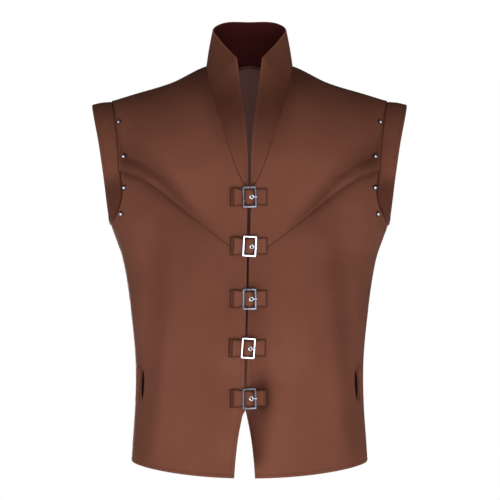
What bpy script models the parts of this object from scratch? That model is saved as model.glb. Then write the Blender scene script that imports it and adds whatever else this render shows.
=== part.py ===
"""Renaissance vest: sleeveless, with a stand collar, front flaps, five buckles and armhole bands.

Metres, +Z up. The front faces -Y and +X is to the viewer's right. The origin lies midway
between the two side neck points, where the vest hangs on its wearer's shoulders.
Every cloth piece is a wall over one shared body shape, which body() works out from the sizes.
"""

import math
from collections import namedtuple

import bmesh
import bpy
from mathutils import Matrix, Vector

# Cloth walls, and the heights of the layers above the body shape
CLOTH = 0.0016
SEAM = 0.0003
FLAP_UNDERSIDE = 0.0008
FLAP_TOP = FLAP_UNDERSIDE + CLOTH
COLLAR_CLOTH = 0.0023
BAND_TOP = 0.0012
BAND_CLOTH = 0.0020
TRIM_GAP = 0.0004

# Body shape: sections from the hem up to the fullest chest line
CHEST_HEIGHT = -0.190
SQUARENESS = 2 / 2.3
Section = namedtuple("Section", "height half_width front back")
SECTIONS = (
    Section(-0.652, 0.1955, 0.121, 0.118),
    Section(-0.622, 0.1935, 0.117, 0.112),
    Section(-0.553, 0.1890, 0.112, 0.101),
    Section(-0.483, 0.1890, 0.110, 0.097),
    Section(-0.403, 0.1965, 0.113, 0.100),
    Section(-0.354, 0.2030, 0.117, 0.104),
    Section(-0.314, 0.2110, 0.120, 0.108),
    Section(-0.284, 0.2215, 0.123, 0.110),
    Section(-0.262, 0.2290, 0.124, 0.111),
    Section(-0.190, 0.2400, 0.125, 0.113),
)
HEM_BOW = 0.016
HEM_BOW_REACH = 0.120

# Shoulders: the ridge that front and back share, and the rise of the back to the nape
RIDGE_DEPTH = 0.006
Ridge = namedtuple("Ridge", "half_width height")
RIDGE = (
    Ridge(0.000, 0.008),
    Ridge(0.0695, 0.001),
    Ridge(0.128, -0.026),
    Ridge(0.1925, -0.045),
    Ridge(0.240, -0.0585),
)
NAPE_RISE = 0.040
NAPE_WIDTH = 0.050
NAPE_DEPTH = 0.062
NECK_HALF_WIDTH = 0.0695

# Front opening from the side neck points down to the hem
Opening = namedtuple("Opening", "height half_width")
OPENING = (
    Opening(-0.668, 0.0167),
    Opening(-0.640, 0.0146),
    Opening(-0.610, 0.0112),
    Opening(-0.591, 0.0080),
    Opening(-0.572, 0.0040),
    Opening(-0.560, 0.0013),
    Opening(-0.300, 0.0013),
    Opening(-0.262, 0.0024),
    Opening(-0.235, 0.0024),
    Opening(-0.208, 0.0013),
    Opening(-0.202, 0.0072),
    Opening(-0.1906, 0.0134),
    Opening(-0.170, 0.0225),
    Opening(-0.150, 0.0293),
    Opening(-0.1165, 0.0402),
    Opening(-0.085, 0.0506),
    Opening(-0.0445, 0.0626),
    Opening(0.001, NECK_HALF_WIDTH),
)
# The closed front edges hang a little to one side towards the hem
LEAN = 0.0078
LEAN_TOP = -0.208
LEAN_BOTTOM = -0.560
VENT = (
    Opening(-0.668, 0.0210),
    Opening(-0.630, 0.0180),
    Opening(-0.595, 0.0100),
    Opening(-0.572, 0.00015),
)

# Armholes: an egg seen from the side, fuller below its widest height than above it
ARMHOLE_DEPTH = 0.004
ARMHOLE_WIDEST = -0.195
ARMHOLE_RISE = 0.139
ARMHOLE_DROP = 0.069
ARMHOLE_TOP_FULLNESS = 1.75
ARMHOLE_BOTTOM_FULLNESS = 2.3
ARMHOLE_HALF_FRONT = 0.0755
ARMHOLE_HALF_BACK = 0.0790
# The band's outer rim is the egg drawn in a little, further out at the top than at the bottom
BAND_SHRINK = 0.92
BAND_RIM_TOP = -0.061
BAND_RIM_BOTTOM = -0.254
Reach = namedtuple("Reach", "height x")
BAND_REACH = (
    Reach(-0.254, 0.2304),
    Reach(-0.206, 0.2345),
    Reach(-0.165, 0.2401),
    Reach(-0.125, 0.2470),
    Reach(-0.090, 0.2550),
    Reach(-0.061, 0.2620),
)
BAND_ROWS = 3
BAND_BULGE = 0.0015

# Rows of corners up a front and a back: metres below the chest line, then shares of the
# quarter turn over the shoulder
ARMPIT_ROW = -0.0745
COLLAR_END_ROW = -0.012
LOWER_ROWS = (
    -0.462, -0.440, -0.418, -0.398, -0.382, -0.366, -0.330, -0.290, -0.250, -0.210, -0.170,
    -0.135, -0.105, -0.086, ARMPIT_ROW, -0.0705, -0.062, -0.045, -0.022, COLLAR_END_ROW, 0.0,
)
TOP_ROW = 0.9988
CORNER_ROW = 0.54
UPPER_ROWS = (0.10, 0.20, 0.30, 0.42, CORNER_ROW, 0.66, 0.77, 0.88, TOP_ROW)
BACK_ROWS_BELOW_NAPE = (0.10, 0.20, 0.30, 0.40, 0.50)
NAPE_SHARES = (0.0, 0.05, 0.17, 0.34, 0.54, 0.76)
PANEL_COLUMNS = 12

# The collar's free edge, round from the centre back to its front corner
Rim = namedtuple("Rim", "around x y z")
COLLAR_TOP = (
    Rim(0.00, 0.0000, 0.0600, 0.0820),
    Rim(0.40, 0.0340, 0.0510, 0.0810),
    Rim(0.75, 0.0530, 0.0270, 0.0720),
    Rim(1.00, 0.0585, -0.0010, 0.0605),
    Rim(1.35, 0.0490, -0.0290, 0.0430),
    Rim(1.70, 0.0345, -0.0540, 0.0240),
    Rim(2.00, 0.0200, -0.0750, 0.0070),
)
# The collar's free edge, from the front corner down to its point
Edge = namedtuple("Edge", "height half_width depth")
COLLAR_FRONT = (
    Edge(-0.1985, 0.0028, 0.1200),
    Edge(-0.1500, 0.0036, 0.1165),
    Edge(-0.0983, 0.0070, 0.1080),
    Edge(-0.0563, 0.0135, 0.0960),
    Edge(0.0070, 0.0200, 0.0750),
)
COLLAR_RISE_ROWS = 4
COLLAR_BULGE = 0.003

# The flap's lower edge, from the front edge out to the armhole
FlapEdge = namedtuple("FlapEdge", "half_width height")
FLAP_EDGE = (
    FlapEdge(0.000, -0.3120),
    FlapEdge(0.033, -0.2975),
    FlapEdge(0.090, -0.2520),
    FlapEdge(0.137, -0.2125),
    FlapEdge(0.158, -0.1975),
    FlapEdge(0.176, -0.1870),
    FlapEdge(0.200, -0.1790),
    FlapEdge(0.216, -0.1755),
)
FLAP_FAN_ROWS = 5
FLAP_EDGE_LIFT = 0.0018
FLAP_LIFT_START = 0.17
FLAP_LIFT_FADE = 0.33

# The largest soft folds: ridges above zero and troughs below
Fold = namedtuple("Fold", "side face top_x bottom_x top bottom width depth")
FOLDS = (
    Fold(-1, -1, 0.092, 0.112, -0.290, -0.640, 0.020, -0.0032),
    Fold(-1, -1, 0.140, 0.152, -0.300, -0.640, 0.018, 0.0026),
    Fold(-1, -1, 0.050, 0.060, -0.330, -0.650, 0.022, 0.0016),
    Fold(1, -1, 0.118, 0.140, -0.270, -0.640, 0.020, -0.0030),
    Fold(1, -1, 0.072, 0.088, -0.320, -0.650, 0.020, 0.0022),
    Fold(1, -1, 0.165, 0.170, -0.320, -0.640, 0.015, 0.0022),
    Fold(-1, 1, 0.060, 0.082, -0.180, -0.640, 0.022, -0.0030),
    Fold(-1, 1, 0.112, 0.130, -0.220, -0.640, 0.022, 0.0028),
    Fold(1, 1, 0.070, 0.080, -0.200, -0.640, 0.022, -0.0028),
    Fold(1, 1, 0.120, 0.126, -0.250, -0.640, 0.020, 0.0026),
)
# A fold fades in over this share of its length and out over the next, and at a panel's edges
FOLD_FADE_IN = 0.33
FOLD_FADE_OUT = 0.17
EDGE_FADE = 0.125
# The hollow that runs above the flap's lower edge, and the wider one in the front under it
FLAP_HOLLOW_ABOVE = 0.027
Hollow = namedtuple("Hollow", "width depth")
FLAP_HOLLOW = Hollow(0.012, -0.0030)
FRONT_HOLLOW = Hollow(0.030, -0.0044)
HOLLOW_START = 0.03
HOLLOW_FADE = 0.06

# Buckles down the closed front: height, sideways place, tilt in degrees, on the flap or not
Buckle = namedtuple("Buckle", "height x tilt on_flap")
BUCKLES = (
    Buckle(-0.2195, 0.0002, 1.5, True),
    Buckle(-0.2970, 0.0003, -3.0, True),
    Buckle(-0.3815, 0.0000, 0.5, False),
    Buckle(-0.4605, -0.0019, -4.0, False),
    Buckle(-0.5412, 0.0000, 1.0, False),
)
BUCKLE_WIDTH = 0.0240
BUCKLE_HEIGHT = 0.0345
BUCKLE_BAR = 0.0030
BUCKLE_THICKNESS = 0.0016
BUCKLE_CORNER = 0.0022
BUCKLE_WINDOW_CORNER = 0.0006
BUCKLE_MIDDLE = 0.0050
BUCKLE_CORNER_STEPS = 3
CENTRE_BAR = 0.0012
STRAP_CLOTH = 0.0012
STRAP_HEIGHT = 0.0262
TILT_REACH = 1.5
SLOT_WIDTH = 0.0034
# Strap and anchor tab seen from their end: distance along the belt line, height of the face
Bend = namedtuple("Bend", "along height")
STRAP_BENDS = (
    Bend(-0.0262, 0.0042), Bend(-0.0205, 0.0037), Bend(-0.0150, 0.0031), Bend(-0.0105, 0.0029),
    Bend(-0.0083, 0.0033), Bend(-0.0058, 0.0060), Bend(-0.0030, 0.0089), Bend(0.0000, 0.0097),
    Bend(0.0030, 0.0089), Bend(0.0063, 0.0050), Bend(0.0083, 0.0025), Bend(0.0105, 0.0015),
    Bend(0.0140, 0.0012), Bend(0.0280, 0.0012),
)
STRAP_HOLE_BEND = 8
ON_INNER_SIDE, ON_BOTH_SIDES = -1, 0
ANCHOR_BENDS = (
    Bend(-0.0315, 0.0006), Bend(-0.0200, 0.0006), Bend(-0.0100, 0.0008), Bend(-0.0062, 0.0014),
    Bend(-0.0036, 0.0023),
)
LOOP_RADIUS = 0.0018
LOOP_ANGLES = (-105, -75, -45, -15, 15, 45, 75, 105, 135)
ANCHOR_LAST_BEND = Bend(-0.0031, 0.0053)
SLOT_FIRST_BEND = 3
PRONG_RADIUS = 0.0008
PRONG_RING = 0.0020
PRONG_ANGLES = (-70, -115, -160, 155, 115, 80)
PRONG_ARM = (Bend(0.0045, 0.0072), Bend(0.0100, 0.0073), Bend(0.0128, 0.0069))

# Rivets beside the armhole seam: their places, and the gap under each where the cloth curves
Rivet = namedtuple("Rivet", "height x on_flap gap")
RIVETS = (
    Rivet(-0.0950, 0.2128, True, 0.0005),
    Rivet(-0.1512, 0.2065, True, 0.0009),
    Rivet(-0.2027, 0.2030, False, 0.0005),
    Rivet(-0.2450, 0.2085, False, 0.0005),
)
RIVET_STEPS = 12
Turned = namedtuple("Turned", "radius rise")
RIVET_PROFILE = (
    Turned(0.0, 0.0028), Turned(0.0020, 0.0024), Turned(0.0034, 0.0012), Turned(0.0047, 0.0008),
    Turned(0.0047, 0.0), Turned(0.0, 0.0),
)

# Pockets: a near upright slit with a welt on its outer side
POCKET_X = 0.1712
POCKET_HEIGHT = -0.5240
POCKET_LENGTH = 0.0540
POCKET_SLIT = 0.0032
POCKET_TILT = 2.5
POCKET_CUT_DEPTH = 0.016
WELT_INNER = 0.0022
WELT_OUTER = 0.0128
WELT_COLUMNS = 3
WELT_ROWS = 4
WELT_CLOTH = 0.0014
WELT_EXTRA_LENGTH = 0.004

# Finishes: name, colour, roughness, metallic
Finish = namedtuple("Finish", "name colour roughness metallic")
BROWN_CLOTH = Finish("brown_cloth", (0.175, 0.062, 0.036), 0.72, 0.0)
STEEL = Finish("bright_steel", (0.62, 0.64, 0.66), 0.22, 1.0)

LEFT, RIGHT = -1, 1
FRONT, BACK = -1, 1
QUARTER = math.pi / 2
NUDGE = 1e-4
HEM_ROW = SECTIONS[0].height - CHEST_HEIGHT
HALVINGS = 34
LEVEL_ROUNDS = 5
# Turns just past the centre, and well inside the armhole's reach, where a search may start
BEFORE_CENTRE = -0.2
INSIDE_ARMHOLE = 0.6
SHOULDER_MIDDLE = 0.5


def smooth(rows, at, column):
    """A column's value at a place between a table's rows, on a smooth curve through them."""
    places = [row[0] for row in rows]
    values = [getattr(row, column) for row in rows]
    at = min(max(at, min(places)), max(places))
    last = len(rows) - 1
    span = next(i for i in range(last) if at <= places[i + 1])

    def slope(i):
        before, after = max(i - 1, 0), min(i + 1, last)
        return (values[after] - values[before]) / (places[after] - places[before])

    length = places[span + 1] - places[span]
    t = (at - places[span]) / length
    start, end = values[span], values[span + 1]
    return (
        start * (1 + 2 * t) * (1 - t) ** 2
        + end * t * t * (3 - 2 * t)
        + length * slope(span) * t * (1 - t) ** 2
        - length * slope(span + 1) * t * t * (1 - t)
    )


def straight(rows, at, column):
    """A column's value at a place between a table's rows, on straight lines through them."""
    at = min(max(at, rows[0][0]), rows[-1][0])
    for low, high in zip(rows, rows[1:]):
        if at <= high[0]:
            share = (at - low[0]) / (high[0] - low[0])
            return getattr(low, column) * (1 - share) + getattr(high, column) * share


def ease(share):
    share = min(max(share, 0), 1)
    return share * share * (3 - 2 * share)


def rounded(value):
    """One arm of the sections' rounded square, with its sign kept."""
    return math.copysign(abs(value) ** SQUARENESS, value)


def body(face, turn, level):
    """The body shape, on the +X side. turn runs from 0 at the centre to 90 degrees at the side."""
    height = CHEST_HEIGHT + min(level, 0)
    half_width = smooth(SECTIONS, height, "half_width")
    depth = smooth(SECTIONS, height, "front" if face == FRONT else "back")
    x = half_width * rounded(math.sin(turn))
    y = face * depth * rounded(math.cos(turn))
    if level <= 0:
        bow = HEM_BOW * ease((HEM_ROW + HEM_BOW_REACH - level) / HEM_BOW_REACH)
        return Vector((x, y, height - bow * (1 - (x / half_width) ** 2)))
    fold = level * QUARTER
    ridge = smooth(RIDGE, abs(x), "height")
    z = CHEST_HEIGHT + math.sin(fold) * (ridge - CHEST_HEIGHT)
    if face == BACK:
        z += NAPE_RISE * math.exp(-((x / NAPE_WIDTH) ** 2)) * math.sin(2 * fold)
    return Vector((x, RIDGE_DEPTH + (y - RIDGE_DEPTH) * math.cos(fold), z))


def body_normal(face, turn, level):
    turn = min(turn, QUARTER - NUDGE)
    across = body(face, turn + NUDGE, level) - body(face, turn - NUDGE, level)
    up = body(face, turn, level + NUDGE) - body(face, turn, level - NUDGE)
    normal = across.cross(up).normalized()
    return normal if face == FRONT else -normal


def fold_height(side, face, point, hollow):
    """How far the large folds push the cloth out at a point of the body shape."""
    height = 0
    for fold in FOLDS:
        if (fold.side, fold.face) != (side, face) or not fold.bottom < point.z < fold.top:
            continue
        down = (fold.top - point.z) / (fold.top - fold.bottom)
        middle = fold.top_x + (fold.bottom_x - fold.top_x) * down
        strength = ease(down / FOLD_FADE_IN) * ease((1 - down) / FOLD_FADE_OUT)
        height += fold.depth * strength * math.exp(-(((point.x - middle) / fold.width) ** 2))
    if face == FRONT:
        above = point.z - straight(FLAP_EDGE, point.x, "height") - FLAP_HOLLOW_ABOVE
        reach = ease((point.x - HOLLOW_START) / HOLLOW_FADE)
        height += hollow.depth * reach * math.exp(-((above / hollow.width) ** 2))
    return height


def last_turn(holds, low, high):
    """The furthest turn from low towards high at which a test still holds."""
    if holds(high):
        return high
    for _ in range(HALVINGS):
        middle = (low + high) / 2
        if holds(middle):
            low = middle
        else:
            high = middle
    return low


def inner_turn(side, face, level, seam):
    """The turn of a panel's inner edge: the neck seam, the front edge or the centre back."""

    def in_opening(turn):
        point = body(face, turn, level)
        if face == BACK:
            neck = (point.x / (NECK_HALF_WIDTH + seam)) ** 2
            neck += ((point.y - RIDGE_DEPTH) / (NAPE_DEPTH + seam)) ** 2
            vent = straight(VENT, point.z, "half_width")
            return point.x < vent or (level > 0 and neck < 1)
        leaning = (LEAN_TOP - point.z) / (LEAN_TOP - LEAN_BOTTOM)
        lean = -LEAN * min(max(leaning, 0), 1)
        return point.x < straight(OPENING, point.z, "half_width") + side * lean + seam

    return last_turn(in_opening, BEFORE_CENTRE, QUARTER)


def outer_turn(face, level, seam):
    """The turn of a panel's outer edge: the armhole's egg, or the side seam below it."""
    half_depth = ARMHOLE_HALF_FRONT if face == FRONT else ARMHOLE_HALF_BACK

    def outside_egg(turn):
        point = body(face, turn, level)
        across = abs(point.y - ARMHOLE_DEPTH) / (half_depth + seam)
        up = point.z - ARMHOLE_WIDEST
        reach, fullness = ARMHOLE_RISE, ARMHOLE_TOP_FULLNESS
        if up < 0:
            reach, fullness = ARMHOLE_DROP, ARMHOLE_BOTTOM_FULLNESS
        return across**fullness + (abs(up) / (reach + seam)) ** fullness > 1

    return last_turn(outside_egg, INSIDE_ARMHOLE, QUARTER)


def side_turn(face, level):
    """The turn at which a panel stops just short of the side seam."""
    height = CHEST_HEIGHT + min(level, 0)
    depth = smooth(SECTIONS, height, "front" if face == FRONT else "back")
    return math.acos((SEAM / 2 / depth) ** (1 / SQUARENESS))


def mitre(first, second):
    """The direction along which two walls of unlike slope meet in one plane."""
    return (first + second) / (1 + first.dot(second))


def neck_seam(side, face, level, seam=0.0):
    turn = max(inner_turn(side, face, level, seam), 0.0)
    return body(face, turn, level), body_normal(face, turn, level)


def collar_rim(side, face, level):
    """The free edge of the collar, across from one place of its seam."""
    seam_point, _ = neck_seam(side, face, level)
    if face == BACK:
        depth = max(seam_point.y - RIDGE_DEPTH, 0) / NAPE_DEPTH
        around = math.atan2(seam_point.x / NECK_HALF_WIDTH, depth) / QUARTER
    elif level >= CORNER_ROW:
        around = 1 + (1 - level) / (1 - CORNER_ROW)
    else:
        corner = neck_seam(side, face, CORNER_ROW)[0].z
        end = neck_seam(side, face, COLLAR_END_ROW)[0].z
        share = (corner - seam_point.z) / (corner - end)
        top, bottom = COLLAR_FRONT[-1].height, COLLAR_FRONT[0].height
        height = top + (bottom - top) * min(max(share, 0), 1)
        depth = smooth(COLLAR_FRONT, height, "depth")
        return Vector((smooth(COLLAR_FRONT, height, "half_width"), -depth, height))
    return Vector([smooth(COLLAR_TOP, around, axis) for axis in "xyz"])


def collar_normal(side, face, level, rise):
    """The collar's outward direction at its seam (rise 0) or its free edge (rise 1)."""
    step = NUDGE * 20
    high = min(level + step, 1.0)
    low = max(level - step, COLLAR_END_ROW) if face == FRONT else max(level - step, NAPE_ROW)
    ends = []
    for place in (low, high):
        start = neck_seam(side, face, place)[0]
        ends.append(start.lerp(collar_rim(side, face, place), rise))
    along = ends[1] - ends[0]
    up = collar_rim(side, face, level) - neck_seam(side, face, level)[0]
    normal = up.cross(along).normalized()
    return normal if face == BACK else -normal


def armhole_seam(face, level, seam=0.0):
    turn = outer_turn(face, level, seam)
    return body(face, turn, level), body_normal(face, turn, level)


def band_rim(point):
    """The band's outer edge, straight across from a point of the armhole seam."""
    bottom, top = ARMHOLE_WIDEST - ARMHOLE_DROP, ARMHOLE_WIDEST + ARMHOLE_RISE
    share = (point.z - bottom) / (top - bottom)
    z = BAND_RIM_BOTTOM + (BAND_RIM_TOP - BAND_RIM_BOTTOM) * share
    y = ARMHOLE_DEPTH + (point.y - ARMHOLE_DEPTH) * BAND_SHRINK
    return Vector((smooth(BAND_REACH, z, "x"), y, z))


def band_normal(point, before, after):
    """The band's outward direction at a seam point, from its neighbours round the egg."""
    outward = band_rim(point) - point
    normal = outward.cross(after - before).normalized()
    centre = Vector((point.x, ARMHOLE_DEPTH, ARMHOLE_WIDEST))
    return normal if normal.dot(point - centre) > 0 else -normal


def armhole_mitre(face, level):
    point, normal = armhole_seam(face, level)
    before = armhole_seam(face, max(level - NUDGE * 5, ARMPIT_ROW))[0]
    after = armhole_seam(face, min(level + NUDGE * 5, 1.0))[0]
    return mitre(normal, band_normal(point, before, after))


def neck_mitre(side, face, level):
    _, normal = neck_seam(side, face, level)
    return mitre(normal, collar_normal(side, face, level, 0))


def edge_turns(side, face, level):
    """The turns of a panel's two edges, each half a seam short of its neighbour."""
    start = inner_turn(side, face, level, SEAM / 2)
    if level > ARMPIT_ROW:
        return start, outer_turn(face, level, SEAM / 2)
    return start, side_turn(face, level)


def cloth_point(side, face, share, level, hollow=FRONT_HOLLOW):
    """A place on a panel, and the direction in which its layers are stacked there.

    share runs from 0 at the panel's inner edge to 1 at its outer edge.
    """
    start, end = edge_turns(side, face, level)
    turn = start + (end - start) * share
    point = body(face, turn, level)
    normal = body_normal(face, turn, level)
    if share == 1 and level > ARMPIT_ROW:
        return point, armhole_mitre(face, level)
    if share == 0 and level > (COLLAR_END_ROW if face == FRONT else NAPE_ROW) - NUDGE:
        return point, neck_mitre(side, face, level)
    calm_edges = ease(min(share, 1 - share) / EDGE_FADE)
    return point + normal * fold_height(side, face, point, hollow) * calm_edges, normal


def front_place(x, height, hollow=FRONT_HOLLOW):
    """A place on the closed front by its distance from the centre, and its outward direction."""
    side = RIGHT if x >= 0 else LEFT
    level = height - CHEST_HEIGHT
    if level > 0:
        level = math.asin(level / (smooth(RIDGE, abs(x), "height") - CHEST_HEIGHT)) / QUARTER
    for _ in range(LEVEL_ROUNDS):
        half_width = smooth(SECTIONS, CHEST_HEIGHT + min(level, 0), "half_width")
        turn = math.asin((abs(x) / half_width) ** (1 / SQUARENESS))
        if level < 0:
            level += height - body(FRONT, turn, level).z
    start, end = edge_turns(side, FRONT, level)
    share = min(max((turn - start) / (end - start), 0), 1)
    point = body(FRONT, turn, level)
    normal = body_normal(FRONT, turn, level)
    calm_edges = ease(min(share, 1 - share) / EDGE_FADE)
    point += normal * fold_height(side, FRONT, point, hollow) * calm_edges
    return mirrored(side, point), mirrored(side, normal)


def mirrored(side, point):
    return Vector((side * point.x, point.y, point.z))


def wall(name, layers, columns, rows, ring=False):
    """A closed wall of cloth. layers holds the outer and inner point of each (column, row)."""
    net = bmesh.new()
    corners = {place: [net.verts.new(point) for point in pair] for place, pair in layers.items()}
    for column in range(columns):
        after = (column + 1) % columns if ring else column + 1
        for row in range(rows):
            cell = ((column, row), (after, row), (after, row + 1), (column, row + 1))
            for layer in (0, 1):
                net.faces.new([corners[place][layer] for place in cell])
    twin = dict(corners.values())
    rim = [edge for edge in net.edges if edge.is_boundary and edge.verts[0] in twin]
    for edge in rim:
        first, second = edge.verts
        net.faces.new((first, second, twin[second], twin[first]))
    bmesh.ops.recalc_face_normals(net, faces=net.faces[:])
    if net.calc_volume(signed=True) < 0:
        bmesh.ops.reverse_faces(net, faces=net.faces[:])
    return finished(name, net, BROWN_CLOTH)


def finished(name, net, finish):
    """Turns a net into a named object with its finish, in the vest's collection."""
    mesh = bpy.data.meshes.new(name)
    net.to_mesh(mesh)
    net.free()
    mesh.materials.append(material(finish))
    piece = bpy.data.objects.new(name, mesh)
    VEST.objects.link(piece)
    return piece


def material(finish):
    made = bpy.data.materials.get(finish.name)
    if made is None:
        made = bpy.data.materials.new(finish.name)
        made.use_nodes = True
        shader = made.node_tree.nodes["Principled BSDF"]
        shader.inputs["Base Color"].default_value = (*finish.colour, 1.0)
        shader.inputs["Roughness"].default_value = finish.roughness
        shader.inputs["Metallic"].default_value = finish.metallic
    return made


def add_panel(name, side, face, levels):
    """A front or back: one wall from the hem up to the shoulder seam."""
    layers = {}
    for column in range(PANEL_COLUMNS + 1):
        for row, level in enumerate(levels):
            point, stack = cloth_point(side, face, column / PANEL_COLUMNS, level)
            outer, inner = mirrored(side, point), mirrored(side, point - stack * CLOTH)
            layers[column, row] = (outer, inner)
    return wall(name, layers, PANEL_COLUMNS, len(levels) - 1)


def flap_edge_level(side, share):
    """The level at which a column of the front meets the flap's lower edge."""

    def below_edge(level):
        start = inner_turn(side, FRONT, level, SEAM / 2)
        end = outer_turn(FRONT, level, SEAM / 2)
        point = body(FRONT, start + (end - start) * share, level)
        return point.z < straight(FLAP_EDGE, abs(point.x), "height")

    return last_turn(below_edge, HEM_ROW / 2, SHOULDER_MIDDLE)


def add_flap(name, side):
    """The loose upper-front flap: a fan of rows up from its slanting edge, then the front's rows."""
    rows = FLAP_FAN_ROWS + len(UPPER_ROWS) - 1
    layers = {}
    for column in range(PANEL_COLUMNS + 1):
        share = column / PANEL_COLUMNS
        edge = flap_edge_level(side, share)
        for row in range(rows + 1):
            if row < FLAP_FAN_ROWS:
                level = edge + (UPPER_ROWS[0] - edge) * row / FLAP_FAN_ROWS
                lift = FLAP_EDGE_LIFT * (1 - row / FLAP_FAN_ROWS) ** 3
                lift *= ease((share - FLAP_LIFT_START) / FLAP_LIFT_FADE)
            else:
                level = UPPER_ROWS[row - FLAP_FAN_ROWS]
                lift = 0
            point, stack = cloth_point(side, FRONT, share, level, FLAP_HOLLOW)
            layers[column, row] = (
                mirrored(side, point + stack * (FLAP_TOP + lift)),
                mirrored(side, point + stack * (FLAP_UNDERSIDE + lift)),
            )
    return wall(name, layers, PANEL_COLUMNS, rows)


def add_collar(name, side):
    """Stand collar and lapel: from the centre back round the neck and down to its point."""
    stations = [(BACK, nape_row(-SEAM / 2))] + [(BACK, level) for level in NAPE_ROWS[1:]]
    front = [level for level in UPPER_ROWS if level < TOP_ROW]
    stations += [(FRONT, 1.0)] + [(FRONT, level) for level in reversed(front)]
    stations += [(FRONT, 0.0), (FRONT, COLLAR_END_ROW)]
    layers = {}
    for column, (face, level) in enumerate(stations):
        seam_point, normal = neck_seam(side, face, level, -SEAM / 2)
        rim = collar_rim(side, face, level)
        if face == BACK and column == 0:
            seam_point.x = rim.x = SEAM / 2
        low = collar_normal(side, face, level, 0)
        high = collar_normal(side, face, level, 1)
        for row in range(COLLAR_RISE_ROWS + 1):
            rise = row / COLLAR_RISE_ROWS
            stack = mitre(normal, low) if row == 0 else low.lerp(high, rise).normalized()
            if column == 0:
                stack.x = 0
            bulge = COLLAR_BULGE * 4 * rise * (1 - rise)
            point = seam_point.lerp(rim, rise) + low * bulge
            if column == 0:
                point.x = SEAM / 2
            layers[column, row] = (
                mirrored(side, point + stack * FLAP_TOP),
                mirrored(side, point + stack * (FLAP_TOP - COLLAR_CLOTH)),
            )
    return wall(name, layers, len(stations) - 1, COLLAR_RISE_ROWS)


def add_band(name, side):
    """The wide band round an armhole: a short tube from the seam out to its rim."""
    front = [level for level in FRONT_ROWS if ARMPIT_ROW < level < TOP_ROW]
    back = [level for level in BACK_ROWS if ARMPIT_ROW < level < TOP_ROW]
    places = [(FRONT, level) for level in front] + [(FRONT, 1.0)]
    places += [(BACK, level) for level in reversed(back)]
    seam_points = [armhole_seam(face, level, -SEAM / 2) for face, level in places]
    bottom_level = ARMHOLE_WIDEST - ARMHOLE_DROP + SEAM / 2 - CHEST_HEIGHT
    bottom = body(FRONT, QUARTER, bottom_level)
    seam_points.append((Vector((bottom.x, 0, bottom.z)), Vector((1, 0, 0))))
    count = len(seam_points)
    layers = {}
    for column in range(count):
        point, normal = seam_points[column]
        before, after = seam_points[column - 1][0], seam_points[(column + 1) % count][0]
        direction = band_normal(point, before, after)
        rim = band_rim(point)
        for row in range(BAND_ROWS + 1):
            share = row / BAND_ROWS
            stack = mitre(normal, direction) if row == 0 else direction
            place = point.lerp(rim, share) + direction * BAND_BULGE * 4 * share * (1 - share)
            layers[column, row] = (
                mirrored(side, place + stack * BAND_TOP),
                mirrored(side, place + stack * (BAND_TOP - BAND_CLOTH)),
            )
    return wall(name, layers, count, BAND_ROWS, ring=True)


def nape_row(seam):
    """The level at which the neck seam crosses the centre back."""
    return math.acos((NAPE_DEPTH + seam) / (SECTIONS[-1].back - RIDGE_DEPTH)) / QUARTER


NAPE_ROW = nape_row(SEAM / 2) - NUDGE
NAPE_ROWS = tuple(NAPE_ROW + (1 - NAPE_ROW) * share for share in NAPE_SHARES)
FRONT_ROWS = LOWER_ROWS + UPPER_ROWS
BACK_ROWS = LOWER_ROWS + BACK_ROWS_BELOW_NAPE + NAPE_ROWS + (TOP_ROW,)


def add_strip(name, bends, base, buckle, hole_cells, offset):
    """A strap or tab: a narrow sheet bent along its length, thickened to one side or both."""
    across = (-STRAP_HEIGHT / 2, -SLOT_WIDTH / 2, SLOT_WIDTH / 2, STRAP_HEIGHT / 2)
    columns, rows = len(bends) - 1, len(across) - 1
    net = bmesh.new()
    bmesh.ops.create_grid(net, x_segments=columns, y_segments=rows, size=0.5)
    cells = []
    for face in net.faces:
        middle = face.calc_center_median()
        cell = (int((middle.x + 0.5) * columns), int((middle.y + 0.5) * rows))
        if cell in hole_cells:
            cells.append(face)
    bmesh.ops.delete(net, geom=cells, context="FACES")
    for corner in net.verts:
        bend = bends[round((corner.co.x + 0.5) * columns)]
        up = across[round((corner.co.y + 0.5) * rows)]
        with_bar = ease(TILT_REACH - abs(bend.along) / STRAP_HEIGHT)
        along = bend.along - math.sin(math.radians(buckle.tilt)) * up * with_bar
        point, normal = front_place(buckle.x + along, buckle.height + up)
        corner.co = point + normal * (base + bend.height)
    piece = finished(name, net, BROWN_CLOTH)
    cloth = piece.modifiers.new("cloth", "SOLIDIFY")
    cloth.thickness = STRAP_CLOTH
    cloth.offset = offset
    cloth.use_even_offset = True
    return piece


def anchor_outline():
    """The anchor tab's bends: flat on the front, then round the buckle's centre bar and back."""
    loop = []
    for angle in LOOP_ANGLES:
        way = math.radians(angle)
        along, height = LOOP_RADIUS * math.cos(way), LOOP_RADIUS * math.sin(way)
        loop.append(Bend(along, BUCKLE_MIDDLE + height))
    return (*ANCHOR_BENDS, *loop, ANCHOR_LAST_BEND)


def belt_matrix(buckle, base):
    """Puts a flat buckle on the front: its X along the belt line, its Z outwards."""
    point, normal = front_place(buckle.x, buckle.height)
    right = Vector((0, 0, 1)).cross(normal).normalized()
    up = normal.cross(right)
    turn = Matrix((right, up, normal)).transposed().to_4x4()
    seat = Matrix.Translation(point + normal * (base + BUCKLE_MIDDLE))
    return seat @ turn @ Matrix.Rotation(math.radians(buckle.tilt), 4, "Z")


def rounded_outline(width, height, corner, steps):
    """The corners of a rectangle with round corners, anticlockwise."""
    points = []
    for quarter, (x, y) in enumerate(((1, 1), (-1, 1), (-1, -1), (1, -1))):
        for step in range(steps + 1):
            angle = QUARTER * (quarter + step / steps)
            points.append((
                x * (width / 2 - corner) + corner * math.cos(angle),
                y * (height / 2 - corner) + corner * math.sin(angle),
            ))
    return points


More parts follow.
